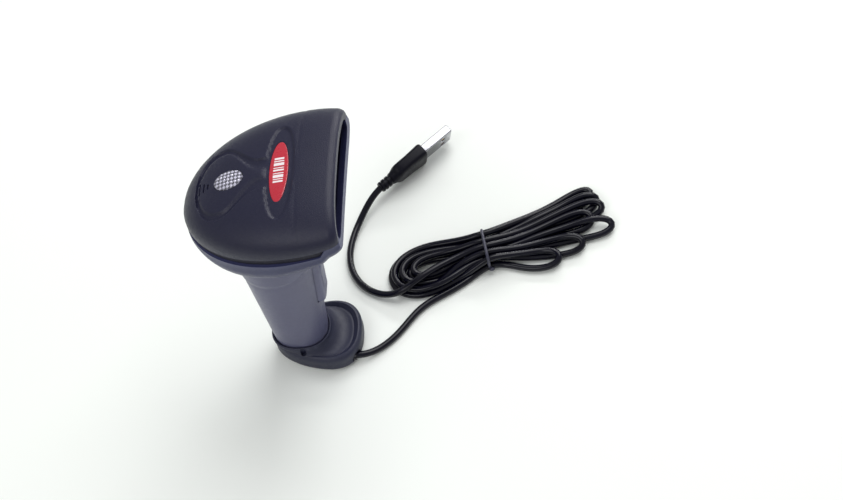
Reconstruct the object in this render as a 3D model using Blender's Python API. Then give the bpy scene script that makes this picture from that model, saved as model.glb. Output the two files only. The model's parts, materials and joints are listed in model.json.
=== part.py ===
"""Handheld barcode scanner standing on its flared foot, with its cable folded into a tied hank.

+X is the way the scan window faces, +Y is the scanner's left, +Z is up. The origin is on the
surface it stands on, under the middle of the scanner without its cable. Lengths are in metres.
"""
import math

import bmesh
import bpy
from mathutils import Matrix, Vector

MM = 0.001
GAP = 0.3 * MM
UP = Vector((0, 0, 1))

# Head: a rounded horseshoe in plan, split by a parting line that climbs towards the mouth.
HEAD_REAR_X = -38.7 * MM
HEAD_WIDEST_X = 20.0 * MM
HEAD_FRONT_X = 36.3 * MM
LIP_FRONT_X = 37.3 * MM
HEAD_HALF_WIDTH = 38.6 * MM
MOUTH_HALF_WIDTH = 35.5 * MM
PARTING_REAR_Z = 123.7 * MM
PARTING_FRONT_Z = 139.5 * MM
HEAD_TOP_Z = 150.7 * MM
BOWL_DEPTHS = (16.0 * MM, 23.0 * MM, 11.0 * MM)
PARTING_GAP = 1.0 * MM
WALL = 2.2 * MM
SEAL_INSET = WALL + 0.6 * MM
PLAN_POWERS = (2.12, 1.92)
TOP_POWERS = (1.89, 1.97)
COVER_SQUARENESS = (2.7, 2.65)
BOWL_SQUARENESS = 3.5
LIP_SQUARENESS = 2.1

# Things set into the top cover.
BADGE_X = 10.4 * MM
BADGE_RADII = (4.4 * MM, 16.5 * MM)
INDICATOR_X = -13.9 * MM
INDICATOR_RADII = (8.2 * MM, 5.0 * MM)
BEEPER_SLOT_X = (-28.2 * MM, -26.0 * MM, -23.9 * MM)
BEEPER_SLOT_LENGTHS = (6.6 * MM, 4.8 * MM, 3.0 * MM)

# Scan window, in a frame that lines the mouth.
FRAME_BACK_X = 24.0 * MM
FRAME_FRONT_X = 34.8 * MM
FRAME_WALL = 2.0 * MM
WINDOW_X = 25.6 * MM
WINDOW_THICKNESS = 1.6 * MM

# Handle: an upright tube that tapers downwards.
HANDLE_BOTTOM_Z = 6.4 * MM
HANDLE_TOP_Z = 117.0 * MM
HANDLE_AXIS_X = -7.9 * MM
HANDLE_LEAN = 0.029
HANDLE_WALL = 2.2 * MM

# Trigger.
PIVOT = Vector((5.4, 0, 80.5)) * MM
TRIGGER_TOP_Z = 84.5 * MM
TRIGGER_BOTTOM_Z = 47.0 * MM
TRIGGER_HALF_WIDTH = 6.2 * MM
TRIGGER_PROUD = 2.4 * MM
SLOT_CLEARANCE = 0.6 * MM
PIN_RADIUS = 1.0 * MM
PIN_HALF_LENGTH = 8.0 * MM
PLUNGER_Z = 57.0 * MM
PLUNGER_TRAVEL = 2.2 * MM

# Foot.
FOOT_CENTER_X = -0.1 * MM
FOOT_RADII = (22.4 * MM, 17.2 * MM)
FOOT_FLARE = 0.28
FOOT_RIM_Z = 11.5 * MM
FOOT_COLLAR_Z = 15.5 * MM
PAD_THICKNESS = 1.5 * MM
FOOT_FLOOR_Z = 6.0 * MM
COLLAR_WALL = 1.5 * MM

# Cable.
CORD_RADIUS = 1.75 * MM
GLAND_Y = -11.6 * MM
GLAND_Z = 4.4 * MM
GLAND_FRONT_X = 19.3 * MM
HANK_LEFT = Vector((32.6, 32.0)) * MM
HANK_RIGHT = Vector((148.5, 63.4)) * MM
HANK_BOTTOM_Z = 1.1 * MM
HANK_TOP_Z = 9.8 * MM
TIE_PLACE = 0.44
PLUG_START = Vector((27.8, 86.4, 8.9)) * MM
PLUG_HEADING = math.radians(43.5)
PLUG_ROLL = math.radians(108)
RELIEF_LENGTH = 9.4 * MM
PLUG_BODY_LENGTH = 20.6 * MM
SHELL_SIZE = (18.7 * MM, 12.0 * MM, 4.5 * MM)
LEAD_ROUTE = ((20.1, -11.6, 4.4), (22.6, -11.5, 4.2), (25.6, -10.2, 3.1), (29.0, -8.0, 2.1),
              (35.0, -3.5, 1.9), (40.2, 2.2, 1.9), (45.6, 9.8, 1.9), (49.0, 14.4, 1.9),
              (51.4, 17.2, 1.9), (53.4, 19.4, 2.2))
TAIL_ROUTE = ((36.2, 22.0, 2.6), (32.9, 22.9, 2.1), (28.6, 25.0, 1.9), (23.4, 27.6, 1.9), (17.4, 33.4, 1.9),
              (13.2, 42.0, 1.9), (12.0, 52.4, 1.9), (13.6, 62.0, 2.1), (17.2, 71.2, 3.6), (21.2, 78.4, 6.4),
              (24.4, 83.1, 8.2), (27.6, 86.2, 8.9))

# Fastenings.
COVER_SCREWS = ((-14.0 * MM, 23.5 * MM), (13.0 * MM, 28.5 * MM))
FOOT_SCREW_X = (-14.5 * MM, -2.5 * MM)
SCREW_RADIUS = 1.3 * MM
HEAD_RADIUS = 2.4 * MM

COLORS = {
    "cover": ((0.052, 0.055, 0.088), 0.55, 0.0),
    "housing": ((0.062, 0.066, 0.130), 0.45, 0.0),
    "handle": ((0.160, 0.165, 0.235), 0.42, 0.0),
    "foot": ((0.022, 0.026, 0.050), 0.50, 0.0),
    "rubber": ((0.012, 0.012, 0.015), 0.85, 0.0),
    "badge": ((0.62, 0.035, 0.06), 0.25, 0.0),
    "clear": ((0.62, 0.62, 0.72), 0.12, 0.0),
    "window": ((0.020, 0.004, 0.010), 0.05, 0.0),
    "black": ((0.010, 0.010, 0.018), 0.60, 0.0),
    "board": ((0.015, 0.16, 0.06), 0.45, 0.0),
    "chip": ((0.012, 0.012, 0.013), 0.40, 0.0),
    "steel": ((0.55, 0.55, 0.57), 0.30, 1.0),
    "white": ((0.75, 0.75, 0.72), 0.40, 0.0),
    "glass": ((0.65, 0.75, 0.80), 0.05, 0.0),
    "led": ((0.75, 0.10, 0.08), 0.20, 0.0),
    "cord": ((0.004, 0.004, 0.010), 0.25, 0.0),
}


# ---- shared helpers ----------------------------------------------------------------------------

def clear_scene():
    for obj in list(bpy.data.objects):
        bpy.data.objects.remove(obj, do_unlink=True)


def finish_of(name):
    """The named finish as a Principled material, made once."""
    found = bpy.data.materials.get(name)
    if found:
        return found
    color, roughness, metallic = COLORS[name]
    material = bpy.data.materials.new(name)
    material.use_nodes = True
    shader = material.node_tree.nodes["Principled BSDF"]
    shader.inputs["Base Color"].default_value = (*color, 1)
    shader.inputs["Roughness"].default_value = roughness
    shader.inputs["Metallic"].default_value = metallic
    material.diffuse_color = (*color, 1)
    return material


def add_object(name, bm, finish, smooth=True, origin=None, cutter=False):
    """Turns a bmesh in world places into an object, whose origin may be on a joint's axis."""
    bmesh.ops.recalc_face_normals(bm, faces=bm.faces)
    if origin is not None:
        bmesh.ops.translate(bm, verts=bm.verts, vec=-origin)
    mesh = bpy.data.meshes.new(name)
    bm.to_mesh(mesh)
    bm.free()
    if smooth:
        mesh.shade_smooth()
        mesh.set_sharp_from_angle(angle=math.radians(35))
    obj = bpy.data.objects.new(name, mesh)
    if origin is not None:
        obj.location = origin
    bpy.context.scene.collection.objects.link(obj)
    obj.data.materials.append(finish_of(finish))
    if cutter:
        obj.hide_render = True
        obj.display_type = "WIRE"
    return obj


def boolean(obj, cutter, operation="DIFFERENCE"):
    modifier = obj.modifiers.new(f"{operation.lower()}_{cutter.name}", "BOOLEAN")
    modifier.operation = operation
    modifier.solver = "EXACT"
    modifier.object = cutter
    return modifier


def loft(rings):
    """One closed body through rings that each hold the same number of points."""
    bm = bmesh.new()
    loops = [[bm.verts.new(point) for point in ring] for ring in rings]
    for first, second in zip(loops, loops[1:]):
        for i in range(len(first)):
            j = (i + 1) % len(first)
            bm.faces.new((first[i], first[j], second[j], second[i]))
    bm.faces.new(loops[0][::-1])
    bm.faces.new(loops[-1])
    return bm


def box(low, high):
    """A box between two corners given in millimetres."""
    low, high = Vector(low) * MM, Vector(high) * MM
    bm = bmesh.new()
    bmesh.ops.create_cube(bm, size=1)
    bmesh.ops.scale(bm, verts=bm.verts, vec=high - low)
    bmesh.ops.translate(bm, verts=bm.verts, vec=(low + high) / 2)
    return bm


def rod(start, end, radius, end_radius=None, sides=24):
    """A round rod or cone between two points."""
    start, end = Vector(start), Vector(end)
    bm = bmesh.new()
    bmesh.ops.create_cone(bm, cap_ends=True, segments=sides, radius1=radius,
                          radius2=radius if end_radius is None else end_radius, depth=(end - start).length)
    turn = (end - start).to_track_quat("Z", "Y").to_matrix().to_4x4()
    bmesh.ops.transform(bm, verts=bm.verts, matrix=Matrix.Translation((start + end) / 2) @ turn)
    return bm


def signed_power(value, power):
    return math.copysign(abs(value) ** power, value)


def rounded_ring(z, center_x, half_x, half_y, power=2.4, sides=36):
    """A level ring between an ellipse and a rectangle."""
    points = []
    for i in range(sides):
        angle = 2 * math.pi * i / sides
        x = center_x + half_x * signed_power(math.cos(angle), 2 / power)
        y = half_y * signed_power(math.sin(angle), 2 / power)
        points.append(Vector((x, y, z)))
    return points


def smooth_route(points, spacing):
    """Evenly spaced points along a Catmull-Rom curve through points given in millimetres."""
    knots = [Vector(point) * MM for point in points]
    knots = [knots[0] * 2 - knots[1]] + knots + [knots[-1] * 2 - knots[-2]]
    dense = []
    for a, b, c, d in zip(knots, knots[1:], knots[2:], knots[3:]):
        for i in range(24):
            t = i / 24
            dense.append(0.5 * (2 * b + (c - a) * t + (2 * a - 5 * b + 4 * c - d) * t * t
                                + (3 * b - a - 3 * c + d) * t ** 3))
    dense.append(knots[-2])
    lengths = [0.0]
    for first, second in zip(dense, dense[1:]):
        lengths.append(lengths[-1] + (second - first).length)
    count = max(3, round(lengths[-1] / spacing) + 1)
    route, k = [], 0
    for i in range(count):
        goal = lengths[-1] * i / (count - 1)
        while k < len(lengths) - 2 and lengths[k + 1] < goal:
            k += 1
        part = (goal - lengths[k]) / (lengths[k + 1] - lengths[k])
        route.append(dense[k].lerp(dense[k + 1], part))
    return route


def tube(name, route, radius, finish, resolution=2):
    """A round tube with closed ends along a route."""
    curve = bpy.data.curves.new(name, "CURVE")
    curve.dimensions = "3D"
    curve.bevel_depth = radius
    curve.bevel_resolution = resolution
    curve.use_fill_caps = True
    spline = curve.splines.new("POLY")
    spline.points.add(len(route) - 1)
    for point, place in zip(spline.points, route):
        point.co = (*place, 1)
    obj = bpy.data.objects.new(name, curve)
    bpy.context.scene.collection.objects.link(obj)
    obj.data.materials.append(finish_of(finish))
    return obj


# ---- the head's shape --------------------------------------------------------------------------

def half_width(x):
    """The head's half width in plan."""
    if x >= HEAD_WIDEST_X:
        t = (x - HEAD_WIDEST_X) / (HEAD_FRONT_X - HEAD_WIDEST_X)
        return HEAD_HALF_WIDTH - (HEAD_HALF_WIDTH - MOUTH_HALF_WIDTH) * t * t
    u = min(1.0, (HEAD_WIDEST_X - x) / (HEAD_WIDEST_X - HEAD_REAR_X))
    return HEAD_HALF_WIDTH * max(0.0, 1 - u ** PLAN_POWERS[0]) ** (1 / PLAN_POWERS[1])


def along_head(x):
    return min(1.06, max(0.0, (x - HEAD_REAR_X) / (HEAD_FRONT_X - HEAD_REAR_X)))


def parting_z(x):
    return PARTING_REAR_Z + (PARTING_FRONT_Z - PARTING_REAR_Z) * along_head(x)


def top_z(x):
    """The height of the top cover over the middle plane."""
    t = min(1.0, along_head(x))
    rise = (1 - (1 - t) ** TOP_POWERS[0]) ** (1 / TOP_POWERS[1])
    return PARTING_REAR_Z + (HEAD_TOP_Z - PARTING_REAR_Z) * rise


def bowl_depth(x):
    """How far the lower housing reaches under the parting line: rear, middle and front depths."""
    t = min(1.0, along_head(x))
    rear, middle, front = BOWL_DEPTHS
    depth = rear * (1 - t) * (1 - 2 * t) + middle * 4 * t * (1 - t) + front * t * (2 * t - 1)
    return depth * (1 - (1 - t) ** 6) ** 0.5


def bowl_squareness(x):
    """Full-sided over the handle, and a plain arc at the lip of the mouth."""
    t = max(0.0, (x - HEAD_WIDEST_X * 0.4) / (HEAD_FRONT_X - HEAD_WIDEST_X * 0.4))
    return BOWL_SQUARENESS + (LIP_SQUARENESS - BOWL_SQUARENESS) * min(1.0, t)


def bowl_bottom_z(x, y):
    """The height of the lower housing's outer surface at a place in plan."""
    square = bowl_squareness(x)
    return parting_z(x) - bowl_depth(x) * (1 - (abs(y) / half_width(x)) ** square) ** (1 / square)


def cover_arch(x, inset=0.0, lower=0.0, count=21, shift=0.0):
    """A cross-section of the top cover, from the left edge over the top to the right edge."""
    wide = max(half_width(x) - inset, 0.3 * MM)
    base = parting_z(x)
    tall = max(top_z(x) - base - inset, 0.2 * MM)
    points = [Vector((x + shift, wide, base - lower))] if lower else []
    for i in range(count):
        angle = math.pi * i / (count - 1)
        points.append(Vector((x + shift, wide * signed_power(math.cos(angle), 2 / COVER_SQUARENESS[0]),
                              base + tall * math.sin(angle) ** (2 / COVER_SQUARENESS[1]))))
    return points + ([Vector((x + shift, -wide, base - lower))] if lower else [])


def bowl_arch(x, inset=0.0, lift=0.0, drop=0.0, count=21, shift=0.0):
    """A cross-section of the lower housing, from the right edge under the bottom to the left edge."""
    wide = max(half_width(x) - inset, 0.3 * MM)
    base = parting_z(x) - drop
    deep = max(bowl_depth(x) - drop - inset, 0.2 * MM)
    power = 2 / bowl_squareness(x)
    points = [Vector((x + shift, -wide, base + lift))] if lift else []
    for i in range(count):
        angle = math.pi * i / (count - 1)
        points.append(Vector((x + shift, -wide * signed_power(math.cos(angle), power),
                              base - deep * math.sin(angle) ** power)))
    return points + ([Vector((x + shift, wide, base + lift))] if lift else [])


def mouth_ring(x, inset, shift=0.0):
    """A closed cross-section through the cover and the lower housing together."""
    return cover_arch(x, inset, count=15, shift=shift)[:-1] + bowl_arch(x, inset, count=15, shift=shift)[:-1]


def stations(start, end, count, crowd=1.7):
    """Places along the head, close together at the rear, where it curves most."""
    return [start + (end - start) * (i / (count - 1)) ** crowd for i in range(count)]


def surface_z(x, y):
    """The height of the top cover's outer surface at a place in plan."""
    side = min(1.0, abs(y) / half_width(x)) ** COVER_SQUARENESS[0]
    return parting_z(x) + (top_z(x) - parting_z(x)) * (1 - side) ** (1 / COVER_SQUARENESS[1])


def cover_frame(x):
    """A place on the cover's middle line, and a turn that stands +Z along the surface's normal there."""
    step = 0.5 * MM
    rise = (surface_z(x + step, 0) - surface_z(x - step, 0)) / (2 * step)
    return Matrix.Translation((x, 0, surface_z(x, 0))) @ Matrix.Rotation(-math.atan(rise), 4, "Y")


def oval_block(frame, radii, bottom, top, sides=40):
    """An upright oval block in a frame, between two heights over the frame's origin."""
    bm = bmesh.new()
    bmesh.ops.create_cone(bm, cap_ends=True, segments=sides, radius1=1, radius2=1, depth=top - bottom)
    bmesh.ops.scale(bm, verts=bm.verts, vec=(radii[0], radii[1], 1))
    bmesh.ops.translate(bm, verts=bm.verts, vec=(0, 0, (top + bottom) / 2))
    bmesh.ops.transform(bm, verts=bm.verts, matrix=frame)
    return bm


# ---- head --------------------------------------------------------------------------------------

def make_top_cover():
    """The upper shell, with its screw posts, badge recess, indicator hole and beeper slots."""
    rear = HEAD_REAR_X + 0.15 * MM
    rings = [cover_arch(x) for x in stations(rear, HEAD_FRONT_X, 18)]
    cover = add_object("top_cover", loft(rings), "cover")
    inner_rear = HEAD_REAR_X + WALL
    inner = [cover_arch(x, WALL, lower=2 * MM) for x in stations(inner_rear, HEAD_FRONT_X, 12)]
    inner.append([point + Vector((2 * MM, 0, 0)) for point in inner[-1]])
    boolean(cover, add_object("cover_hollow", loft(inner), "black", cutter=True))
    for x, y in COVER_SCREWS:
        for side in (1, -1):
            top = surface_z(x, y) - 0.8 * MM
            base = parting_z(x) - 4.5 * MM
            name = f"cover_post_{'left' if side > 0 else 'right'}_{'rear' if x < 0 else 'front'}"
            body = rod((x, side * y, base), (x, side * y, top), 3.0 * MM)
            post = add_object(name, body, "cover", cutter=True)
            boolean(cover, post, "UNION")
            pilot = rod((x, side * y, base - MM), (x, side * y, base + 7.6 * MM), SCREW_RADIUS + GAP,
                        sides=16)
            boolean(cover, add_object(name + "_pilot", pilot, "black", cutter=True))
    recess = oval_block(cover_frame(BADGE_X), [r + GAP for r in BADGE_RADII], -1.3 * MM, 4 * MM)
    boolean(cover, add_object("badge_recess", recess, "black", cutter=True))
    hole = oval_block(cover_frame(INDICATOR_X), [r + GAP for r in INDICATOR_RADII], -6 * MM, 4 * MM)
    boolean(cover, add_object("indicator_hole", hole, "black", cutter=True))
    for x, length in zip(BEEPER_SLOT_X, BEEPER_SLOT_LENGTHS):
        bm = box((-0.45, -length / MM / 2, -5), (0.45, length / MM / 2, 3))
        bmesh.ops.transform(bm, verts=bm.verts, matrix=cover_frame(x))
        boolean(cover, add_object(f"beeper_slot_{round(-x / MM)}", bm, "black", cutter=True))


def make_lower_housing():
    """The bowl under the head, with a lip under the mouth and a hole for the handle."""
    xs = stations(HEAD_REAR_X + 0.15 * MM, HEAD_FRONT_X, 18)
    rings = [bowl_arch(x, drop=PARTING_GAP) for x in xs]
    slope = (LIP_FRONT_X - HEAD_FRONT_X) / BOWL_DEPTHS[2]
    for i, x in enumerate(xs):
        reach = max(0.0, (x - HEAD_WIDEST_X) / (HEAD_FRONT_X - HEAD_WIDEST_X))
        for point in rings[i]:
            point.x += reach * (parting_z(x) - point.z) * slope
    bowl = add_object("lower_housing", loft(rings), "housing")
    inner = [bowl_arch(x, WALL, lift=2 * MM, drop=PARTING_GAP)
             for x in stations(HEAD_REAR_X + WALL, HEAD_FRONT_X, 12)]
    inner.append([point + Vector((5 * MM, 0, 0)) for point in inner[-1]])
    boolean(bowl, add_object("bowl_hollow", loft(inner), "black", cutter=True))
    hole = loft([handle_ring(z, GAP) for z in (92 * MM, 104 * MM, HANDLE_TOP_Z + 8 * MM)])
    boolean(bowl, add_object("handle_hole", hole, "black", cutter=True))
    for x, y in COVER_SCREWS:
        for side in (1, -1):
            name = f"cover_screw_way_{'left' if side > 0 else 'right'}_{'rear' if x < 0 else 'front'}"
            way = rod((x, side * y, 95 * MM), (x, side * y, parting_z(x)), SCREW_RADIUS + GAP, sides=16)
            boolean(bowl, add_object(name, way, "black", cutter=True))
            sink = rod((x, side * y, 95 * MM), (x, side * y, screw_seat_z(x, y)), HEAD_RADIUS + GAP, sides=20)
            boolean(bowl, add_object(name + "_sink", sink, "black", cutter=True))


def screw_seat_z(x, y):
    """Where the head of a cover screw meets the bowl."""
    return bowl_bottom_z(x, y) + 0.9 * MM


def make_head_seal():
    """A thin seal that closes the gap along the parting line from inside."""
    xs = stations(HEAD_REAR_X + WALL + 2 * MM, FRAME_BACK_X - 1.0 * MM, 14, crowd=1.5)

    def band(inset, low, high):
        left = [Vector((x, half_width(x) - inset, parting_z(x))) for x in reversed(xs)]
        right = [Vector((x, -(half_width(x) - inset), parting_z(x))) for x in xs]
        path = left + right
        return [point + UP * low for point in path], [point + UP * high for point in path]

    outer_low, outer_high = band(SEAL_INSET, -2.4 * MM, 1.4 * MM)
    inner_low, inner_high = band(SEAL_INSET + 1.0 * MM, -2.4 * MM, 1.4 * MM)
    rings = [list(corner) for corner in zip(outer_low, outer_high, inner_high, inner_low)]
    add_object("head_seal", loft(rings), "rubber")


def make_window():
    """The frame that lines the mouth, and the clear scan window held in it."""
    xs = (FRAME_BACK_X, (FRAME_BACK_X + FRAME_FRONT_X) / 2, FRAME_FRONT_X)
    frame = add_object("window_frame", loft([mouth_ring(x, WALL + 2 * GAP) for x in xs]), "black")
    inner = [mouth_ring(x, WALL + GAP + FRAME_WALL, shift) for x, shift in
             ((xs[0], -2 * MM), (xs[0], 0), (xs[1], 0), (xs[2], 0), (xs[2], 3 * MM))]
    boolean(frame, add_object("window_way", loft(inner), "black", cutter=True))
    inset = WALL + FRAME_WALL + 2 * GAP
    add_object("scan_window", loft([mouth_ring(x, inset) for x in (WINDOW_X, WINDOW_X + WINDOW_THICKNESS)]),
               "window")


def make_cover_trim():
    """The badge, the indicator lens, its light pipe and the beeper under the slots."""
    add_object("badge_plate", oval_block(cover_frame(BADGE_X), BADGE_RADII, -1.0 * MM, 0.1 * MM), "badge")
    frame = cover_frame(INDICATOR_X)
    add_object("indicator_lens", oval_block(frame, INDICATOR_RADII, -2.6 * MM, 0.5 * MM), "clear")
    add_object("light_pipe", oval_block(frame, (4.6 * MM, 2.8 * MM), -9.0 * MM, -2.9 * MM, sides=24), "clear")
    x = BEEPER_SLOT_X[1]
    deck = board_top_z() + GAP
    add_object("beeper", rod((x, 0, deck), (x, 0, deck + 3.2 * MM), 4.6 * MM, sides=32), "black")


# ---- inside the head ---------------------------------------------------------------------------

def board_top_z():
    return 125.6 * MM


def make_electronics():
    """The main board with its parts, and the scan engine that looks out of the window."""
    top = board_top_z() / MM
    board = add_object("main_board", box((-30.2, -15.5, top - 1.6), (20, 15.5, top)), "board", smooth=False)
    way = box((-14, -8, top - 4), (-4, 8, top + 3))
    boolean(board, add_object("harness_way", way, "black", cutter=True))
    deck = top + 0.3
    add_object("decoder_chip", box((-2, -13.5, deck), (6, -5.5, deck + 1.2)), "chip", smooth=False)
    add_object("memory_chip", box((-2, 6, deck), (4, 12, deck + 1.0)), "chip", smooth=False)
    add_object("board_connector", box((-21, 8.6, deck), (-14.6, 14, deck + 4)), "white", smooth=False)
    add_object("status_led", box((-16.4, -1.5, deck), (-13.4, 1.5, deck + 2.0)), "led", smooth=False)
    low, high = deck + 3.4, deck + 15.2
    chassis = add_object("optics_chassis", box((8, -13, low), (19.2, 13, high)), "black", smooth=False)
    bay = box((5, -10.6, low + 1.7), (17.0, 10.6, high - 1.7))
    boolean(chassis, add_object("chassis_bay", bay, "black", cutter=True))
    middle = (low + high) / 2 * MM
    hole = rod((10 * MM, 0, middle), (24 * MM, 0, middle), 3.9 * MM)
    boolean(chassis, add_object("lens_seat", hole, "black", cutter=True))
    barrel = add_object("lens_barrel", rod((11.6 * MM, 0, middle), (20.6 * MM, 0, middle), 3.6 * MM), "black")
    bore = rod((9 * MM, 0, middle), (24 * MM, 0, middle), 2.6 * MM)
    boolean(barrel, add_object("lens_bore", bore, "black", cutter=True))
    add_object("imaging_lens", rod((17.4 * MM, 0, middle), (19.4 * MM, 0, middle), 2.3 * MM), "glass")
    add_object("sensor_board", box((6.0, -12.6, low + 2.3), (7.2, 12.6, high - 2.3)), "board", smooth=False)
    add_object("image_sensor", box((7.5, -9.0, middle / MM - 1.5), (9.0, 9.0, middle / MM + 1.5)), "chip",
               smooth=False)
    for side in (1, -1):
        name = "left" if side > 0 else "right"
        edges = sorted((side * 14.0, side * 25.0))
        add_object(f"lamp_board_{name}", box((18.0, edges[0], low + 3), (19.2, edges[1], high - 4)), "board",
                   smooth=False)
        for i, y in enumerate((16.8, 22.0)):
            start = Vector((19.5 * MM, side * y * MM, middle - 0.5 * MM))
            lamp = rod(start, start + Vector((3.4 * MM, 0, 0)), 1.5 * MM, 1.1 * MM, sides=16)
            add_object(f"aiming_lamp_{name}_{i + 1}", lamp, "led")


# ---- handle and trigger ------------------------------------------------------------------------

def handle_size(z):
    """(half depth, half width) of the handle at a height."""
    t = (z - 14 * MM) / (95 * MM - 14 * MM)
    flare = max(0.0, t - 0.75) ** 2
    return (13.6 + 5.9 * t + 7 * flare) * MM, (11.6 + 3.6 * t + 5 * flare) * MM


def handle_center(z):
    return HANDLE_AXIS_X + HANDLE_LEAN * z


def handle_ring(z, grow=0.0, sides=32):
    half_x, half_y = handle_size(z)
    return rounded_ring(z, handle_center(z), half_x + grow, half_y + grow, 2.25, sides)


def handle_front_x(z):
    return handle_center(z) + handle_size(z)[0]


def make_handle():
    """The tube of the handle, open at both ends, with a slot in its front wall for the trigger."""
    heights = [HANDLE_BOTTOM_Z + (HANDLE_TOP_Z - HANDLE_BOTTOM_Z) * i / 6 for i in range(7)]
    handle = add_object("handle_shell", loft([handle_ring(z) for z in heights]), "handle")
    hollow = [HANDLE_BOTTOM_Z - 3 * MM] + heights[1:-1] + [HANDLE_TOP_Z + 3 * MM]
    boolean(handle, add_object("handle_hollow", loft([handle_ring(z, -HANDLE_WALL) for z in hollow]),
                               "black", cutter=True))
    half = TRIGGER_HALF_WIDTH + SLOT_CLEARANCE
    slot = box((3, -half / MM, (TRIGGER_BOTTOM_Z - SLOT_CLEARANCE) / MM),
               (30, half / MM, (TRIGGER_TOP_Z + SLOT_CLEARANCE) / MM))
    boolean(handle, add_object("trigger_slot", slot, "black", cutter=True))
    x = handle_center(10 * MM) / MM
    plate = add_object("handle_end_plate", loft([handle_ring(z, -HANDLE_WALL - GAP) for z in
                                                (9.0 * MM, 12.5 * MM)]), "black")
    for i, screw_x in enumerate(FOOT_SCREW_X):
        pilot = rod((screw_x, 0, 5 * MM), (screw_x, 0, 15 * MM), SCREW_RADIUS + GAP, sides=16)
        boolean(plate, add_object(f"end_plate_pilot_{i + 1}", pilot, "black", cutter=True))
    way = box((x + 1.3, -7.0, 5), (x + 5.0, -1.9, 16))
    boolean(plate, add_object("end_plate_cable_way", way, "black", cutter=True))


def trigger_outline():
    """The trigger seen from the side: a hooked blade with a lug at its top."""
    rows = 9
    front, back = [], []
    for i in range(rows):
        t = i / (rows - 1)
        z = TRIGGER_BOTTOM_Z + (TRIGGER_TOP_Z - TRIGGER_BOTTOM_Z) * t
        proud = TRIGGER_PROUD * (math.sin(math.pi * min(1.0, 0.12 + t * 1.02)) ** 0.5) if t < 0.86 else 0.0
        bow = 0.9 * MM * math.sin(math.pi * t) ** 2
        front.append(Vector((handle_front_x(z) + max(proud, -0.2 * MM) - bow, 0, z)))
        back.append(Vector((handle_front_x(z) - (10.4 if t > 0.7 else 4.4) * MM, 0, z)))
    return front + back[::-1]


def make_trigger():
    """The trigger blade, its pivot pin, the bracket that holds the pin, and the return spring."""
    outline = trigger_outline()
    half = TRIGGER_HALF_WIDTH
    steps = ((-half, 0.7), (-half + 1.2 * MM, 0.0), (half - 1.2 * MM, 0.0), (half, 0.7))
    middle = sum(outline, Vector()) / len(outline)
    rings = []
    for y, shrink in steps:
        scale = 1 - shrink * 0.06
        rings.append([middle + (point - middle) * scale + Vector((0, y, 0)) for point in outline])
    blade = add_object("trigger", loft(rings), "handle", origin=PIVOT)
    bore = rod(PIVOT - Vector((0, 9 * MM, 0)), PIVOT + Vector((0, 9 * MM, 0)), PIN_RADIUS + 0.15 * MM)
    boolean(blade, add_object("trigger_bore", bore, "black", cutter=True))
    x, z = PIVOT.x / MM, PIVOT.z / MM
    pocket = box((x - 6, -2.6, z - 3.0), (x + 2.6, 2.6, z + 6))
    boolean(blade, add_object("spring_pocket", pocket, "black", cutter=True))
    pin = rod(PIVOT - Vector((0, PIN_HALF_LENGTH, 0)), PIVOT + Vector((0, PIN_HALF_LENGTH, 0)), PIN_RADIUS)
    add_object("trigger_pin", pin, "steel")
    bracket = add_object("trigger_bracket", box((x - 14, -8.2, z - 3.2), (x + 1.4, 8.2, z + 3.2)), "black",
                         smooth=False)
    bay = box((x - 11.5, -6.8, z - 6), (x + 6, 6.8, z + 6))
    boolean(bracket, add_object("bracket_bay", bay, "black", cutter=True))
    seat = rod(PIVOT - Vector((0, 12 * MM, 0)), PIVOT + Vector((0, 12 * MM, 0)), PIN_RADIUS + GAP)
    boolean(bracket, add_object("pin_seat", seat, "black", cutter=True))
    coil = []
    for i in range(3 * 10 + 1):
        angle = 2 * math.pi * i / 10
        turn = Vector((math.cos(angle), 0, math.sin(angle))) * 1.75 * MM
        coil.append(PIVOT + turn + Vector((0, (i / 30 - 0.5) * 3.4 * MM, 0)))
    tube("trigger_spring", coil, 0.3 * MM, "steel", resolution=1)


def make_switch():
    """The switch behind the trigger: its board, its case, and the plunger that the trigger pushes."""
    back_x = handle_front_x(PLUNGER_Z) - 4.4 * MM
    tip_x = back_x - GAP
    z = PLUNGER_Z / MM
    case_front = tip_x / MM - PLUNGER_TRAVEL / MM - 1.0
    tip = Vector((tip_x, 0, PLUNGER_Z))
    plunger = rod((case_front * MM - 2.4 * MM, 0, PLUNGER_Z), tip, 1.5 * MM, sides=20)
    add_object("switch_plunger", plunger, "white", origin=tip)
    case = add_object("trigger_switch", box((case_front - 6.0, -4, z - 4), (case_front, 4, z + 4)), "chip",
                      smooth=False)
    bore = rod((case_front * MM - 5.2 * MM, 0, PLUNGER_Z), (case_front * MM + MM, 0, PLUNGER_Z), 1.8 * MM)
    boolean(case, add_object("plunger_bore", bore, "black", cutter=True))
    add_object("switch_board", box((case_front - 7.9, -7, z - 12), (case_front - 6.3, 7, z + 14)), "board",
               smooth=False)
    header = box((case_front - 15.6, -4.5, z - 11), (case_front - 8.2, 4.5, z - 5))
    add_object("cable_header", header, "white", smooth=False)


# ---- foot --------------------------------------------------------------------------------------

def foot_ring(z, inset=0.0):
    """A level ring round the foot, which is wider towards its front."""
    half_x, half_y = FOOT_RADII
    ring = rounded_ring(z, FOOT_CENTER_X, half_x - inset, half_y - inset, 2.3, 32)
    for point in ring:
        point.y *= 1 + FOOT_FLARE * (point.x - FOOT_CENTER_X) / half_x
    return ring


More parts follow.
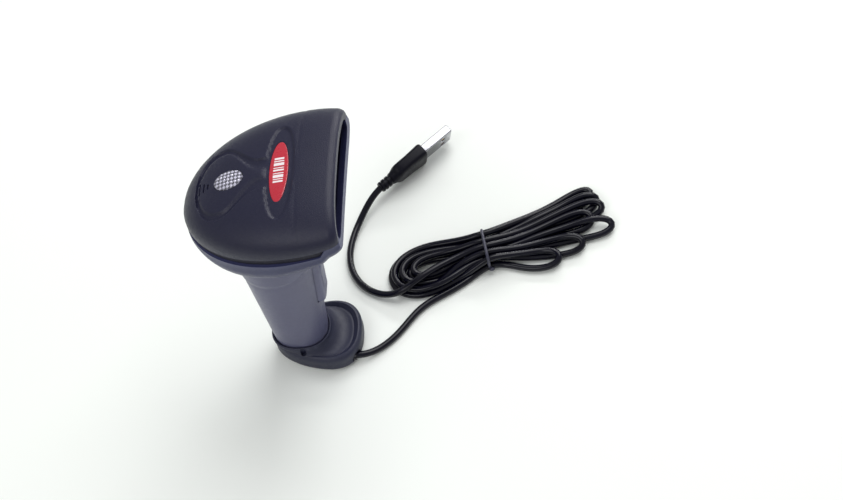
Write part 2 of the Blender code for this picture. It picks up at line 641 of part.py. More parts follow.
def make_foot():
    """The flared boot round the handle's lower end, with its rubber pad and two screws."""
    steps = ((1.8 * MM, 0.9), (3.0 * MM, 0.2), (8.5 * MM, 0.0), (10.6 * MM, 0.4), (FOOT_RIM_Z, 1.2))
    rings = [foot_ring(z, inset * MM) for z, inset in steps]
    collar = [size + COLLAR_WALL for size in handle_size(FOOT_COLLAR_Z)]
    collar_ring = rounded_ring(FOOT_COLLAR_Z - MM, handle_center(FOOT_COLLAR_Z), *collar, 2.25, 32)
    for t in (0.12, 0.4, 0.75, 1.0):
        ring = []
        for outer, inner in zip(rings[4], collar_ring):
            spread = max(0.0, math.hypot(outer.x, outer.y) - math.hypot(inner.x, inner.y))
            dish = spread * 0.16 * math.sin(math.pi * t) ** 0.7
            point = outer.lerp(inner, t)
            point.z = FOOT_RIM_Z + (FOOT_COLLAR_Z - MM - FOOT_RIM_Z) * t ** 3 - dish
            ring.append(point)
        rings.append(ring)
    top = [size - 0.5 * MM for size in collar]
    rings.append(rounded_ring(FOOT_COLLAR_Z, handle_center(FOOT_COLLAR_Z), *top, 2.25, 32))
    foot = add_object("foot_shell", loft(rings), "foot")
    socket = loft([handle_ring(z, GAP) for z in (FOOT_FLOOR_Z, FOOT_COLLAR_Z + 4 * MM)])
    boolean(foot, add_object("foot_socket", socket, "black", cutter=True))
    for i, x in enumerate(FOOT_SCREW_X):
        way = rod((x, 0, 0), (x, 0, 9 * MM), SCREW_RADIUS + GAP, sides=16)
        boolean(foot, add_object(f"foot_screw_way_{i + 1}", way, "black", cutter=True))
        sink = rod((x, 0, 0), (x, 0, 4.0 * MM), HEAD_RADIUS + GAP, sides=20)
        boolean(foot, add_object(f"foot_screw_sink_{i + 1}", sink, "black", cutter=True))
    way = rod((handle_center(0) + 3 * MM, GLAND_Y, GLAND_Z), (30 * MM, GLAND_Y, GLAND_Z), 2.9 * MM)
    boolean(foot, add_object("gland_way", way, "black", cutter=True))
    well = box((-7.4, -13.8, 1.2), (-1.2, -1.0, 7.6))
    boolean(foot, add_object("cable_well", well, "black", cutter=True))
    pad = foot_ring(0, 1.6 * MM)
    rings = [pad, [point + UP * PAD_THICKNESS for point in pad]]
    add_object("foot_pad", loft(rings), "rubber")


def make_gland():
    """The strain relief in the foot's wall, and the inner cable from it up to the switch board."""
    start = Vector((2.0 * MM, GLAND_Y, GLAND_Z))
    end = Vector((GLAND_FRONT_X, GLAND_Y, GLAND_Z))
    gland = add_object("cable_gland", rod(start, end, 2.6 * MM, 2.3 * MM), "cord")
    bore = rod(start + Vector((-2 * MM, 0, 0)), start + Vector((4 * MM, 0, 0)), CORD_RADIUS + GAP)
    boolean(gland, add_object("gland_bore", bore, "black", cutter=True))
    route = ((5.4, GLAND_Y / MM, GLAND_Z / MM), (2.0, GLAND_Y / MM, GLAND_Z / MM), (-1.6, -10.6, 4.3),
             (-4.0, -8.0, 4.4), (-5.0, -5.6, 6.2), (-5.0, -4.6, 9.4), (-5.0, -3.9, 16), (-7.0, -2.0, 30),
             (-9.9, 0, 45.6))
    tube("inner_cable", smooth_route(route, 3.4 * MM), 1.35 * MM, "cord")
    route = ((-9.9, 0, 52.4), (-10.6, 0, 62), (-11.8, 0, 80), (-10.6, 0, 100), (-9.0, 1.0, 119),
             (-8.6, 3.6, 127.4), (-9.0, 8.4, 128.2), (-11.2, 11.1, 128.0), (-14.0, 11.3, 127.9))
    tube("main_harness", smooth_route(route, 4 * MM), 1.2 * MM, "rubber")


def make_screw(name, seat, length, up=True):
    """A pan-head screw from its seat, with a cross recess in its head."""
    way = UP if up else -UP
    shank = rod(seat, seat + way * length, SCREW_RADIUS, SCREW_RADIUS * 0.8, sides=14)
    screw = add_object(name, shank, "steel")
    head = rod(seat - way * 1.4 * MM, seat + way * 0.2 * MM, HEAD_RADIUS * 0.86, HEAD_RADIUS, sides=20)
    boolean(screw, add_object(name + "_head", head, "steel", cutter=True), "UNION")
    for i, size in enumerate(((1.4, 0.25), (0.25, 1.4))):
        x, y, z = seat / MM
        low = z - 2.2 if up else z + 0.7
        slot = box((x - size[0], y - size[1], low), (x + size[0], y + size[1], low + 1.5))
        boolean(screw, add_object(f"{name}_recess_{i + 1}", slot, "black", cutter=True))


def make_screws():
    for i, x in enumerate(FOOT_SCREW_X):
        make_screw(f"foot_screw_{i + 1}", Vector((x, 0, 3.7 * MM)), 8.4 * MM)
    for x, y in COVER_SCREWS:
        for side in (1, -1):
            place = "left" if side > 0 else "right"
            name = f"cover_screw_{place}_{'rear' if x < 0 else 'front'}"
            seat = Vector((x, side * y, screw_seat_z(x, y) - GAP))
            make_screw(name, seat, parting_z(x) + 2.4 * MM - seat.z)


# ---- cable -------------------------------------------------------------------------------------

def hank_half_width(s):
    """The hank's half width along its length, narrow at the tie and fanned at its far end."""
    if s < TIE_PLACE:
        body = 10.0 + 4.7 * math.sin(math.pi / 2 * min(1.0, (TIE_PLACE - s) / 0.28)) ** 2
    else:
        body = 10.0 + 8.0 * math.sin(math.pi / 2 * min(1.0, (s - TIE_PLACE) / 0.40)) ** 2
    near_end = min(1.0, s / 0.13, (1 - s) / 0.13)
    return body * MM * math.sqrt(max(0.0, 1 - (1 - near_end) ** 2))


def make_hank():
    """The folded cable as one solid, and the tie round its waist."""
    along = (HANK_RIGHT - HANK_LEFT).normalized()
    across = Vector((-along.y, along.x))
    length = (HANK_RIGHT - HANK_LEFT).length
    places = [0.5 - 0.5 * math.cos(math.pi * i / 30) for i in range(31)]
    left = [HANK_LEFT + along * length * s + across * hank_half_width(s) for s in places]
    right = [HANK_LEFT + along * length * s - across * hank_half_width(s) for s in places[1:-1]]
    outline = left + right[::-1]
    rings = [[Vector((*point, z)) for point in outline] for z in (HANK_BOTTOM_Z, HANK_TOP_Z)]
    add_object("cord_hank", loft(rings), "cord")
    middle = HANK_LEFT + along * length * TIE_PLACE
    turn = Matrix.Rotation(math.atan2(along.y, along.x), 4, "Z")
    half = hank_half_width(TIE_PLACE) / MM
    low, high = HANK_BOTTOM_Z / MM, HANK_TOP_Z / MM
    rounds = []
    for grow in (1.0, 0.0):
        bm = box((-0.9 - (1 - grow), -half - 0.5 - grow, low - 0.4 - 0.6 * grow),
                 (0.9 + (1 - grow), half + 0.5 + grow, high + 0.4 + 0.8 * grow))
        bmesh.ops.transform(bm, verts=bm.verts, matrix=Matrix.Translation((*middle, 0)) @ turn)
        rounds.append(bm)
    tie = add_object("cord_tie", rounds[0], "cord")
    boolean(tie, add_object("tie_hollow", rounds[1], "cord", cutter=True))


def make_plug():
    """The USB plug at the cable's end: moulded body with its relief, metal shell and tongue."""
    turn = Matrix.Rotation(PLUG_HEADING, 4, "Z") @ Matrix.Rotation(PLUG_ROLL, 4, "X")
    place = Matrix.Translation(PLUG_START) @ turn

    def ring(x, half_y, half_z, power=4.0, sides=24):
        points = []
        for i in range(sides):
            angle = 2 * math.pi * i / sides
            points.append(place @ Vector((x * MM, half_y * signed_power(math.cos(angle), 2 / power) * MM,
                                          half_z * signed_power(math.sin(angle), 2 / power) * MM)))
        return points

    relief, body = RELIEF_LENGTH / MM, (RELIEF_LENGTH + PLUG_BODY_LENGTH) / MM
    rings = [ring(0.3, 2.6, 2.6, 2.0), ring(relief - 0.6, 3.5, 3.3, 2.2), ring(relief + 2.2, 6.2, 3.9, 3.0),
             ring(relief + 8, 7.4, 4.1), ring(body - 1, 7.9, 4.2), ring(body, 7.6, 3.9)]
    moulding = add_object("plug_body", loft(rings), "cord")
    length, wide, thick = (size / MM for size in SHELL_SIZE)
    seat = ring_box(place, (body - 5, body + 2), wide / 2 + 0.3, thick / 2 + 0.3)
    boolean(moulding, add_object("shell_seat", seat, "black", cutter=True))
    shell = ring_box(place, (body - 4.7, body + length), wide / 2, thick / 2)
    case = add_object("plug_shell", shell, "steel", smooth=False)
    inside = ring_box(place, (body - 3.9, body + length + 2), wide / 2 - 0.4, thick / 2 - 0.4)
    boolean(case, add_object("shell_hollow", inside, "black", cutter=True))
    tongue = ring_box(place, (body - 3.6, body + length - 1.2), wide / 2 - 0.8, 0.8, shift=-0.7)
    add_object("plug_tongue", tongue, "white", smooth=False)


def ring_box(place, span, half_y, half_z, shift=0.0):
    """A box along the plug's axis, in its turned frame, in millimetres."""
    bm = box((span[0], -half_y, -half_z + shift), (span[1], half_y, half_z + shift))
    bmesh.ops.transform(bm, verts=bm.verts, matrix=place)
    return bm


def make_cord():
    tube("cord_lead", smooth_route(LEAD_ROUTE, 3.5 * CORD_RADIUS), CORD_RADIUS, "cord")
    tube("cord_tail", smooth_route(TAIL_ROUTE, 3.5 * CORD_RADIUS), CORD_RADIUS, "cord")


def main():
    clear_scene()
    make_top_cover()
    make_lower_housing()
    make_head_seal()
    make_window()
    make_cover_trim()
    make_electronics()
    make_handle()
    make_trigger()
    make_switch()
    make_foot()
    make_gland()
    make_screws()
    make_hank()
    make_plug()
    make_cord()


main()
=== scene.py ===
"""Looks of a handheld barcode scanner: fine shells, trim, finishes, cable, floor, lights and camera.

Lengths are in metres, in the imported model's frame: +X is where the scan window faces, +Z is up.
"""
import json
import math
from collections import namedtuple

import bmesh
import bpy
import numpy as np
from bpy.props import FloatProperty, FloatVectorProperty, IntProperty, PointerProperty
from bpy.types import Operator, Panel, PropertyGroup
from mathutils import Matrix, Vector


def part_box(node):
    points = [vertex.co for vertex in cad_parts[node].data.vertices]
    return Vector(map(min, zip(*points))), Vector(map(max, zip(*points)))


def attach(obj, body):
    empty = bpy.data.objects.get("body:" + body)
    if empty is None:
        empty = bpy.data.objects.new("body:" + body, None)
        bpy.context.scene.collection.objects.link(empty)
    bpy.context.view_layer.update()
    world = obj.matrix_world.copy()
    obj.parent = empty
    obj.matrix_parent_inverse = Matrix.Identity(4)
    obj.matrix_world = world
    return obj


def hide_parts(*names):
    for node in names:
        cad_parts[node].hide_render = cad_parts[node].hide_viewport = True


bl_info = {
    "name": "Handheld barcode scanner",
    "version": (1, 0, 0),
    "blender": (4, 5, 0),
    "location": "View3D > Sidebar > Scanner",
    "description": "Builds the looks of a handheld barcode scanner round its packed model",
    "category": "Object",
}

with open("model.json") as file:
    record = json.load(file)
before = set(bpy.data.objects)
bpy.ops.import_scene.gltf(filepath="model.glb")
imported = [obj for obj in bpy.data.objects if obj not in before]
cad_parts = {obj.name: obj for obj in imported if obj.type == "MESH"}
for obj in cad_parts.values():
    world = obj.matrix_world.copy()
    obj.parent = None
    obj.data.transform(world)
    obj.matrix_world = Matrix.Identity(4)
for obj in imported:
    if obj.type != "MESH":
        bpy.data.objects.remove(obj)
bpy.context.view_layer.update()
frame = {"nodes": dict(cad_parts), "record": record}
MM = 0.001


def length(name, description, default):
    return FloatProperty(name=name, description=description, default=default, unit="LENGTH", precision=5)


def color(name, description, default):
    return FloatVectorProperty(name=name, description=description, default=default, subtype="COLOR",
                               size=3, min=0.0, max=1.0)


# ---- what a user may change --------------------------------------------------------------------

class HeadSettings(PropertyGroup):
    rear_x: length("Rear", "Rear tip of the head", -38.7 * MM)
    widest_x: length("Widest place", "Where the head is widest", 20.0 * MM)
    front_x: length("Mouth", "Front of the top cover", 36.3 * MM)
    lip: length("Lip", "How far the lower lip stands out past the cover", 1.0 * MM)
    half_width: length("Half width", "Half the head's greatest width", 38.6 * MM)
    mouth_half_width: length("Mouth half width", "Half the mouth's width", 36.1 * MM)
    parting_rear_z: length("Parting line, rear", "Height of the parting line at the rear", 123.7 * MM)
    parting_front_z: length("Parting line, front", "Height of the parting line at the mouth", 139.5 * MM)
    top_z: length("Top", "Height of the cover over the mouth", 150.7 * MM)
    ridge: length("Ridge", "Height of the fine ridge round the relief", 0.36 * MM)
    wall: length("Wall", "Wall of the cover and the housing", 2.2 * MM)
    rim: length("Rim", "Width of the bevelled rim of the mouth", 3.0 * MM)
    rim_depth: length("Rim depth", "How far the rim's front face reaches in from the outside", 4.8 * MM)
    corner_reach: length("Corner reach", "How far the mouth's corners stand before its middle", 1.5 * MM)
    ledge: length("Ledge", "How far the housing stands out past the cover behind the mouth", 0.8 * MM)
    seam: length("Shadow gap", "Height of the shadow gap under the cover", 4.4 * MM)
    seam_end_x: length("Shadow gap end", "Where the shadow gap closes to a fine line", 30.5 * MM)
    relief: length("Relief", "Depth of the sunk relief round the badge and the lens", 1.0 * MM)


class TrimSettings(PropertyGroup):
    badge_x: length("Badge place", "Middle of the badge", 10.4 * MM)
    badge_length: length("Badge length", "Half the badge's length across the head", 16.5 * MM)
    badge_width: length("Badge width", "Half the badge's width", 4.4 * MM)
    lens_x: length("Lens place", "Middle of the indicator lens", -13.5 * MM)
    lens_length: length("Lens length", "Half the indicator lens's length", 7.4 * MM)
    lens_width: length("Lens width", "Half the indicator lens's width", 5.0 * MM)
    slot_width: length("Slot width", "Width of a beeper slot", 0.9 * MM)


class HandleSettings(PropertyGroup):
    bottom_z: length("Bottom", "Lower end of the handle's tube", 6.4 * MM)
    top_z: length("Top", "Upper end of the handle's tube", 117.0 * MM)
    axis_x: length("Axis", "Middle of the handle at the floor", -7.9 * MM)
    lean: FloatProperty(name="Lean", description="How far the handle leans forward per unit of height",
                        default=0.029)
    wall: length("Wall", "Wall of the handle", 2.2 * MM)
    trigger_top_z: length("Trigger top", "Upper end of the trigger", 84.5 * MM)
    trigger_bottom_z: length("Trigger bottom", "Lower end of the trigger", 47.0 * MM)
    trigger_half_width: length("Trigger half width", "Half the trigger's width", 6.2 * MM)


class FootSettings(PropertyGroup):
    center_x: length("Centre", "Middle of the foot", -0.1 * MM)
    half_length: length("Half length", "Half the foot's length", 22.4 * MM)
    half_width: length("Half width", "Half the foot's width", 17.2 * MM)
    flare: FloatProperty(name="Flare", description="How much wider the foot is at its front", default=0.28)
    rim_z: length("Rim", "Height of the foot's rim", 11.5 * MM)
    collar_z: length("Collar", "Height of the collar round the handle", 15.5 * MM)
    collar_wall: length("Collar wall", "Wall of the collar", 1.5 * MM)


class CableSettings(PropertyGroup):
    diameter: length("Diameter", "Thickness of the cable", 3.5 * MM)
    passes: IntProperty(name="Relaxing passes", description="Passes that settle the folded cable",
                        default=260)
    tie_place: FloatProperty(name="Tie", description="Where the tie is along the hank", default=0.44)
    tie_thickness: length("Tie thickness", "Thickness of the tie", 1.5 * MM)
    plug_heading: FloatProperty(name="Plug heading", description="Which way the plug points", subtype="ANGLE",
                                default=math.radians(43.5))
    plug_roll: FloatProperty(name="Plug roll", description="How the plug is turned about its own axis",
                             subtype="ANGLE", default=math.radians(108))


class FinishSettings(PropertyGroup):
    cover: color("Cover", "Top cover", (0.012, 0.0125, 0.034))
    housing: color("Housing", "Lower housing", (0.026, 0.030, 0.088))
    handle: color("Handle", "Handle and trigger", (0.092, 0.094, 0.162))
    foot: color("Foot", "Boot of the foot", (0.012, 0.014, 0.038))
    badge: color("Badge", "Badge plate", (0.48, 0.016, 0.036))
    lens: color("Lens", "Ribbed indicator lens", (0.50, 0.49, 0.62))
    cable: color("Cable", "Cable jacket", (0.002, 0.002, 0.008))
    floor: color("Floor", "Studio floor", (0.93, 0.96, 0.925))


SETTINGS = {"scanner_head": HeadSettings, "scanner_trim": TrimSettings, "scanner_handle": HandleSettings,
            "scanner_foot": FootSettings, "scanner_cable": CableSettings, "scanner_finish": FinishSettings}


def settings(name):
    return getattr(bpy.context.scene, "scanner_" + name)


# ---- mesh helpers ------------------------------------------------------------------------------

def grid_mesh(columns, rows, place):
    """A grid over 0..1 both ways, each point put where place(u, v) says."""
    bm = bmesh.new()
    bmesh.ops.create_grid(bm, x_segments=columns, y_segments=rows, size=0.5)
    for vert in bm.verts:
        vert.co = place(vert.co.x + 0.5, vert.co.y + 0.5)
    return bm


def wall_mesh(columns, rows, outer, inner):
    """A closed wall between an outer and an inner skin, each point put where its function of (u, v) says."""
    bm = bmesh.new()
    bmesh.ops.create_grid(bm, x_segments=columns, y_segments=rows, size=0.5)
    skin = bm.verts[:]
    rim = [edge for edge in bm.edges if edge.is_boundary]
    copied = bmesh.ops.duplicate(bm, geom=bm.verts[:] + bm.edges[:] + bm.faces[:])
    lining = [part for part in copied["geom"] if isinstance(part, bmesh.types.BMVert)]
    bmesh.ops.translate(bm, verts=lining, vec=(0, 0, -0.02))
    bmesh.ops.bridge_loops(bm, edges=rim + [copied["edge_map"][edge] for edge in rim])
    for verts, place in ((skin, outer), (lining, inner)):
        for vert in verts:
            vert.co = place(vert.co.x + 0.5, vert.co.y + 0.5)
    return bm


def tube_mesh(sides, levels, place, cap_start=False, cap_end=False):
    """A tube of extruded rings, each point put where place(angle, level) says."""
    bm = bmesh.new()
    bmesh.ops.create_circle(bm, segments=sides, radius=1)
    first = edges = bm.edges[:]
    for _ in range(levels - 1):
        grown = bmesh.ops.extrude_edge_only(bm, edges=edges)["geom"]
        verts = {part for part in grown if isinstance(part, bmesh.types.BMVert)}
        edges = [part for part in grown if isinstance(part, bmesh.types.BMEdge) and set(part.verts) <= verts]
        bmesh.ops.translate(bm, verts=list(verts), vec=(0, 0, 1))
    if cap_start:
        bmesh.ops.contextual_create(bm, geom=first)
    if cap_end:
        bmesh.ops.contextual_create(bm, geom=edges)
    for vert in bm.verts:
        vert.co = place(math.atan2(vert.co.y, vert.co.x), round(vert.co.z))
    return bm


def smooth_step(low, high, value):
    t = min(1.0, max(0.0, (value - low) / (high - low)))
    return t * t * (3 - 2 * t)


def signed_power(value, power):
    return math.copysign(abs(value) ** power, value)


def face_outwards(bm):
    """Turns the faces of a shell away from its middle, open or closed."""
    bmesh.ops.recalc_face_normals(bm, faces=bm.faces)
    middle = sum((vert.co for vert in bm.verts), Vector()) / len(bm.verts)
    if sum(face.normal.dot(face.calc_center_median() - middle) * face.calc_area() for face in bm.faces) < 0:
        bmesh.ops.reverse_faces(bm, faces=bm.faces)


def mesh_object(name, bm):
    """Puts a bmesh into the scene as an object."""
    mesh = bpy.data.meshes.new(name)
    bm.to_mesh(mesh)
    bm.free()
    obj = bpy.data.objects.new(name, mesh)
    bpy.context.scene.collection.objects.link(obj)
    return obj


def shade_by_angle(obj, angle=35):
    obj.data.shade_smooth()
    obj.data.set_sharp_from_angle(angle=math.radians(angle))


def new_piece(name, bm, material, body="scanner", angle=35):
    """Turns a bmesh into a finished piece that rides on a body."""
    face_outwards(bm)
    obj = mesh_object(name, bm)
    shade_by_angle(obj, angle)
    obj.data.materials.append(material)
    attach(obj, body)
    return obj


def cutter(bm):
    """A closed body that a Boolean takes away, and that goes once it has been used."""
    bmesh.ops.recalc_face_normals(bm, faces=bm.faces)
    return mesh_object("cutter", bm)


def cut(obj, *bodies):
    """Takes the bodies away from a piece, and keeps the result as its mesh."""
    for body in bodies:
        tool = cutter(body)
        modifier = obj.modifiers.new("cut", "BOOLEAN")
        modifier.operation = "DIFFERENCE"
        modifier.solver = "EXACT"
        modifier.object = tool
        keep_result(obj)
        bpy.data.objects.remove(tool, do_unlink=True)


def keep_result(obj):
    """Replaces a piece's mesh by what its modifiers make of it."""
    bpy.context.view_layer.update()
    graph = bpy.context.evaluated_depsgraph_get()
    mesh = bpy.data.meshes.new_from_object(obj.evaluated_get(graph))
    old = obj.data
    obj.modifiers.clear()
    obj.data = mesh
    bpy.data.meshes.remove(old)
    mesh.name = obj.name


def thicken(obj, thickness):
    modifier = obj.modifiers.new("wall", "SOLIDIFY")
    modifier.thickness = thickness
    modifier.offset = -1
    modifier.use_even_offset = True
    keep_result(obj)


def box_body(low, high, bevel=0.0, segments=3):
    """A box between two corners, its edges rounded."""
    low, high = Vector(low), Vector(high)
    bm = bmesh.new()
    bmesh.ops.create_cube(bm, size=1)
    bmesh.ops.scale(bm, verts=bm.verts, vec=high - low)
    bmesh.ops.translate(bm, verts=bm.verts, vec=(low + high) / 2)
    if bevel:
        bmesh.ops.bevel(bm, geom=bm.edges[:], offset=bevel, segments=segments, profile=0.5, affect="EDGES",
                        material=-1)
    return bm


def oval_body(matrix, radii, bottom, top, sides=64):
    """An upright oval block in a frame, between two heights."""
    bm = bmesh.new()
    bmesh.ops.create_cone(bm, cap_ends=True, segments=sides, radius1=1, radius2=1, depth=top - bottom)
    bmesh.ops.scale(bm, verts=bm.verts, vec=(radii[0], radii[1], 1))
    bmesh.ops.translate(bm, verts=bm.verts, vec=(0, 0, (top + bottom) / 2))
    bmesh.ops.transform(bm, verts=bm.verts, matrix=matrix)
    return bm


# ---- finishes ----------------------------------------------------------------------------------

PLASTIC_IOR = 1.5
COAT_ROUGHNESS = 0.08
GRAIN_DEPTH = 0.2 * MM
DUST_COLOR = (0.55, 0.53, 0.50, 1)


class Group:
    """A shader node group under construction."""

    def __init__(self, name, inputs, outputs):
        self.tree = bpy.data.node_groups.new(name, "ShaderNodeTree")
        for label, kind, default in inputs:
            socket = self.tree.interface.new_socket(label, in_out="INPUT", socket_type="NodeSocket" + kind)
            if default is not None:
                socket.default_value = default
        for label, kind in outputs:
            self.tree.interface.new_socket(label, in_out="OUTPUT", socket_type="NodeSocket" + kind)
        self.start = self.tree.nodes.new("NodeGroupInput")
        self.end = self.tree.nodes.new("NodeGroupOutput")

    def node(self, kind, *feeds, **values):
        return add_node(self.tree, kind, *feeds, **values)

    def given(self, name):
        return self.start.outputs[name]

    def give(self, source, name):
        self.tree.links.new(source, self.end.inputs[name])


def feed(tree, value, socket):
    """Links a node's output to an input, or sets the input to a plain value."""
    if isinstance(value, bpy.types.NodeSocket):
        tree.links.new(value, socket)
    else:
        socket.default_value = value


def add_node(tree, kind, *feeds, **values):
    """A shader node: feeds fill its inputs in order, values its properties and inputs by name."""
    node = tree.nodes.new("ShaderNode" + kind)
    for key, value in values.items():
        if hasattr(node, key):
            setattr(node, key, value)
        else:
            feed(tree, value, node.inputs[key.replace("_", " ")])
    for socket, value in zip(node.inputs, feeds):
        feed(tree, value, socket)
    return node


def mixed_color(tree, share, first, second):
    """The output of a colour mix: its first colour where share is 0, its second where it is 1."""
    mix = add_node(tree, "Mix", share, data_type="RGBA")
    feed(tree, first, mix.inputs[6])
    feed(tree, second, mix.inputs[7])
    return mix.outputs[2]


def object_point(group):
    """Object coordinates times the group's scale, so that a pattern has a real size."""
    point = group.node("TexCoord").outputs["Object"]
    stretch = group.node("VectorMath", point, operation="SCALE", Scale=group.given("Scale"))
    return stretch.outputs["Vector"]


def build_grain():
    """Fine moulded texture: height and a matching change of roughness."""
    group = Group("moulded_grain", [("Scale", "Float", 2600.0), ("Roughness", "Float", 0.5)],
                  [("Height", "Float"), ("Roughness", "Float")])
    point = object_point(group)
    pits = group.node("TexVoronoi", point, feature="SMOOTH_F1", Scale=1.0, Smoothness=0.6)
    group.give(pits.outputs["Distance"], "Height")
    haze = group.node("TexNoise", point, Scale=0.22, Detail=3.0)
    change = group.node("MapRange", haze.outputs["Fac"], From_Min=0.3, From_Max=0.7, To_Min=-0.05,
                        To_Max=0.05)
    total = group.node("Math", group.given("Roughness"), change.outputs["Result"], operation="ADD",
                       use_clamp=True)
    group.give(total.outputs[0], "Roughness")
    return group.tree


def build_tone():
    """Slow change of tone over a moulding, with a painted highlight that lightens its convex edges."""
    group = Group("tone_and_edge_highlight",
                  [("Color", "Color", (0.5, 0.5, 0.5, 1)), ("Worn Color", "Color", (0.8, 0.8, 0.8, 1)),
                   ("Scale", "Float", 60.0), ("Spread", "Float", 0.12), ("Wear", "Float", 0.3)],
                  [("Color", "Color")])
    clouds = group.node("TexNoise", object_point(group), Scale=1.0, Detail=4.0, Roughness=0.6)
    offset = group.node("MapRange", clouds.outputs["Fac"], From_Min=0.25, From_Max=0.75, To_Min=-1.0,
                        To_Max=1.0)
    amount = group.node("Math", offset.outputs["Result"], group.given("Spread"), 1.0,
                        operation="MULTIPLY_ADD")
    toned = group.node("VectorMath", group.given("Color"), operation="SCALE", Scale=amount.outputs[0])
    # Painted highlight: convex edges, found by pointiness, are mixed towards a lighter colour.
    shape = group.node("NewGeometry")
    edge = group.node("MapRange", shape.outputs["Pointiness"], From_Min=0.515, From_Max=0.60)
    highlight_share = group.node("Math", edge.outputs["Result"], group.given("Wear"), operation="MULTIPLY",
                        use_clamp=True)
    color = mixed_color(group.tree, highlight_share.outputs[0], toned.outputs["Vector"], group.given("Worn Color"))
    group.give(color, "Color")
    return group.tree


def build_dust():
    """A trace of dust that settles on faces that look up."""
    group = Group("settled_dust", [("Color", "Color", (0.5, 0.5, 0.5, 1)), ("Dust", "Float", 0.03)],
                  [("Color", "Color")])
    shape = group.node("NewGeometry")
    split = group.node("SeparateXYZ", shape.outputs["Normal"])
    upward = group.node("MapRange", split.outputs["Z"], From_Min=0.2, From_Max=1.0)
    coordinates = group.node("TexCoord")
    specks = group.node("TexNoise", coordinates.outputs["Object"], Scale=900.0, Detail=6.0, Roughness=0.7)
    sparse = group.node("MapRange", specks.outputs["Fac"], From_Min=0.55, From_Max=0.8)
    both = group.node("Math", upward.outputs["Result"], sparse.outputs["Result"], operation="MULTIPLY")
    amount = group.node("Math", both.outputs[0], group.given("Dust"), operation="MULTIPLY", use_clamp=True)
    color = mixed_color(group.tree, amount.outputs[0], group.given("Color"), DUST_COLOR)
    group.give(color, "Color")
    return group.tree


def group_node(tree, name, **values):
    """A node that uses one of the shader groups, which is built the first time it is asked for."""
    builders = {"moulded_grain": build_grain, "tone_and_edge_highlight": build_tone, "settled_dust": build_dust}
    node = tree.nodes.new("ShaderNodeGroup")
    node.node_tree = bpy.data.node_groups.get(name) or builders[name]()
    for key, value in values.items():
        feed(tree, value, node.inputs[key.replace("_", " ")])
    return node


def finish(name, base, roughness=0.5, grain=0.0, grain_scale=2600.0, edge_highlight=0.25, spread=0.10, dust=0.05,
           metallic=0.0, coat=0.0, specular=0.5):
    """A moulded or metal finish: tone, painted edge highlight, dust and grain round one Principled shader."""
    found = bpy.data.materials.get(name)
    if found:
        return found
    material = bpy.data.materials.new(name)
    material.use_nodes = True
    material.diffuse_color = (*base, 1)
    tree = material.node_tree
    shader = tree.nodes["Principled BSDF"]
    shader.inputs["Metallic"].default_value = metallic
    shader.inputs["Specular IOR Level"].default_value = specular
    shader.inputs["IOR"].default_value = PLASTIC_IOR
    shader.inputs["Coat Weight"].default_value = coat
    shader.inputs["Coat Roughness"].default_value = COAT_ROUGHNESS
    # Painted highlight colour for the edges: a lighter copy of the base.
    highlight_color = [min(1.0, c * 1.9 + 0.02) for c in base]
    tone = group_node(tree, "tone_and_edge_highlight", Color=(*base, 1), Worn_Color=(*highlight_color, 1), Spread=spread,
                      Wear=edge_highlight)
    powder = group_node(tree, "settled_dust", Color=tone.outputs["Color"], Dust=dust)
    feed(tree, powder.outputs["Color"], shader.inputs["Base Color"])
    texture = group_node(tree, "moulded_grain", Scale=grain_scale, Roughness=roughness)
    feed(tree, texture.outputs["Roughness"], shader.inputs["Roughness"])
    if grain:
        bump = add_node(tree, "Bump", Strength=grain, Distance=GRAIN_DEPTH, Height=texture.outputs["Height"])
        feed(tree, bump.outputs["Normal"], shader.inputs["Normal"])
    return material


# ---- cable -------------------------------------------------------------------------------------

# Where the cable lies outside the hank, in millimetres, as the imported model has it.
LEAD_ROUTE = ((15.0, -11.6, 4.4), (20.1, -11.6, 4.4), (22.6, -11.5, 4.2), (25.6, -10.2, 3.1),
              (29.0, -8.0, 2.1), (35.0, -3.5, 1.9), (40.2, 2.2, 1.9), (45.6, 9.8, 1.9), (49.0, 14.4, 1.9),
              (51.4, 17.2, 1.9))
TAIL_ROUTE = ((36.2, 22.0, 2.6), (32.9, 22.9, 2.1), (28.6, 25.0, 1.9), (23.4, 27.6, 1.9), (17.4, 33.4, 1.9),
              (13.2, 42.0, 1.9), (12.0, 52.4, 1.9), (13.6, 62.0, 2.1), (17.2, 71.2, 3.6), (21.2, 78.4, 6.4),
              (24.4, 83.1, 8.2), (28.4, 87.0, 8.9))
HANK_LEFT = Vector((32.6, 32.0))
HANK_RIGHT = Vector((148.5, 63.4))
PLUG_START = Vector((27.8, 86.4, 8.9))
CABLE_EXIT = (19.3 * MM, -11.6 * MM, 4.4 * MM)
# The tie, in millimetres: the height of its lowest row of strands, how far apart the strands lie in it,
# how much closer its rows lie, and how far along the hank it holds them.
TIE_BASE = 1.6
SLOT_STEP = 3.62
ROW_SHARE = 0.87
TIE_HOLD = 1.7
SMOOTHING_PASSES = 6

# The folded loops at the far end: how far each reaches and how far it leans to the side, in millimetres.
FAR_LOOPS = ((91.0, -15.0), (117.0, 17.4), (104.5, -10.6), (118.0, 12.4), (121.5, -4.6), (119.5, 7.4),
             (113.0, 2.2))
# The broad loops at the near end: where each begins, its half width and the height of its layer.
NEAR_LOOPS = ((1.6, 13.2, 2.0), (2.4, 12.8, 6.0), (5.0, 9.6, 2.0), (6.0, 9.2, 6.0), (9.0, 6.2, 2.6),
              (10.4, 6.4, 6.4))
# The two strands in the tie that each far loop joins.
PAIRS = (("low1", "top1"), ("low5", "top5"), ("mid1", "top2"), ("low4", "mid4"), ("low2", "mid2"),
         ("mid3", "top4"), ("low3", "top3"))


def hank_length():
    return (HANK_RIGHT - HANK_LEFT).length


def from_hank(u, v, w):
    """A place along, across and above the hank, in the model's millimetres."""
    along = (HANK_RIGHT - HANK_LEFT).normalized()
    spot = HANK_LEFT + along * u + Vector((-along.y, along.x)) * v
    return (spot.x, spot.y, w)


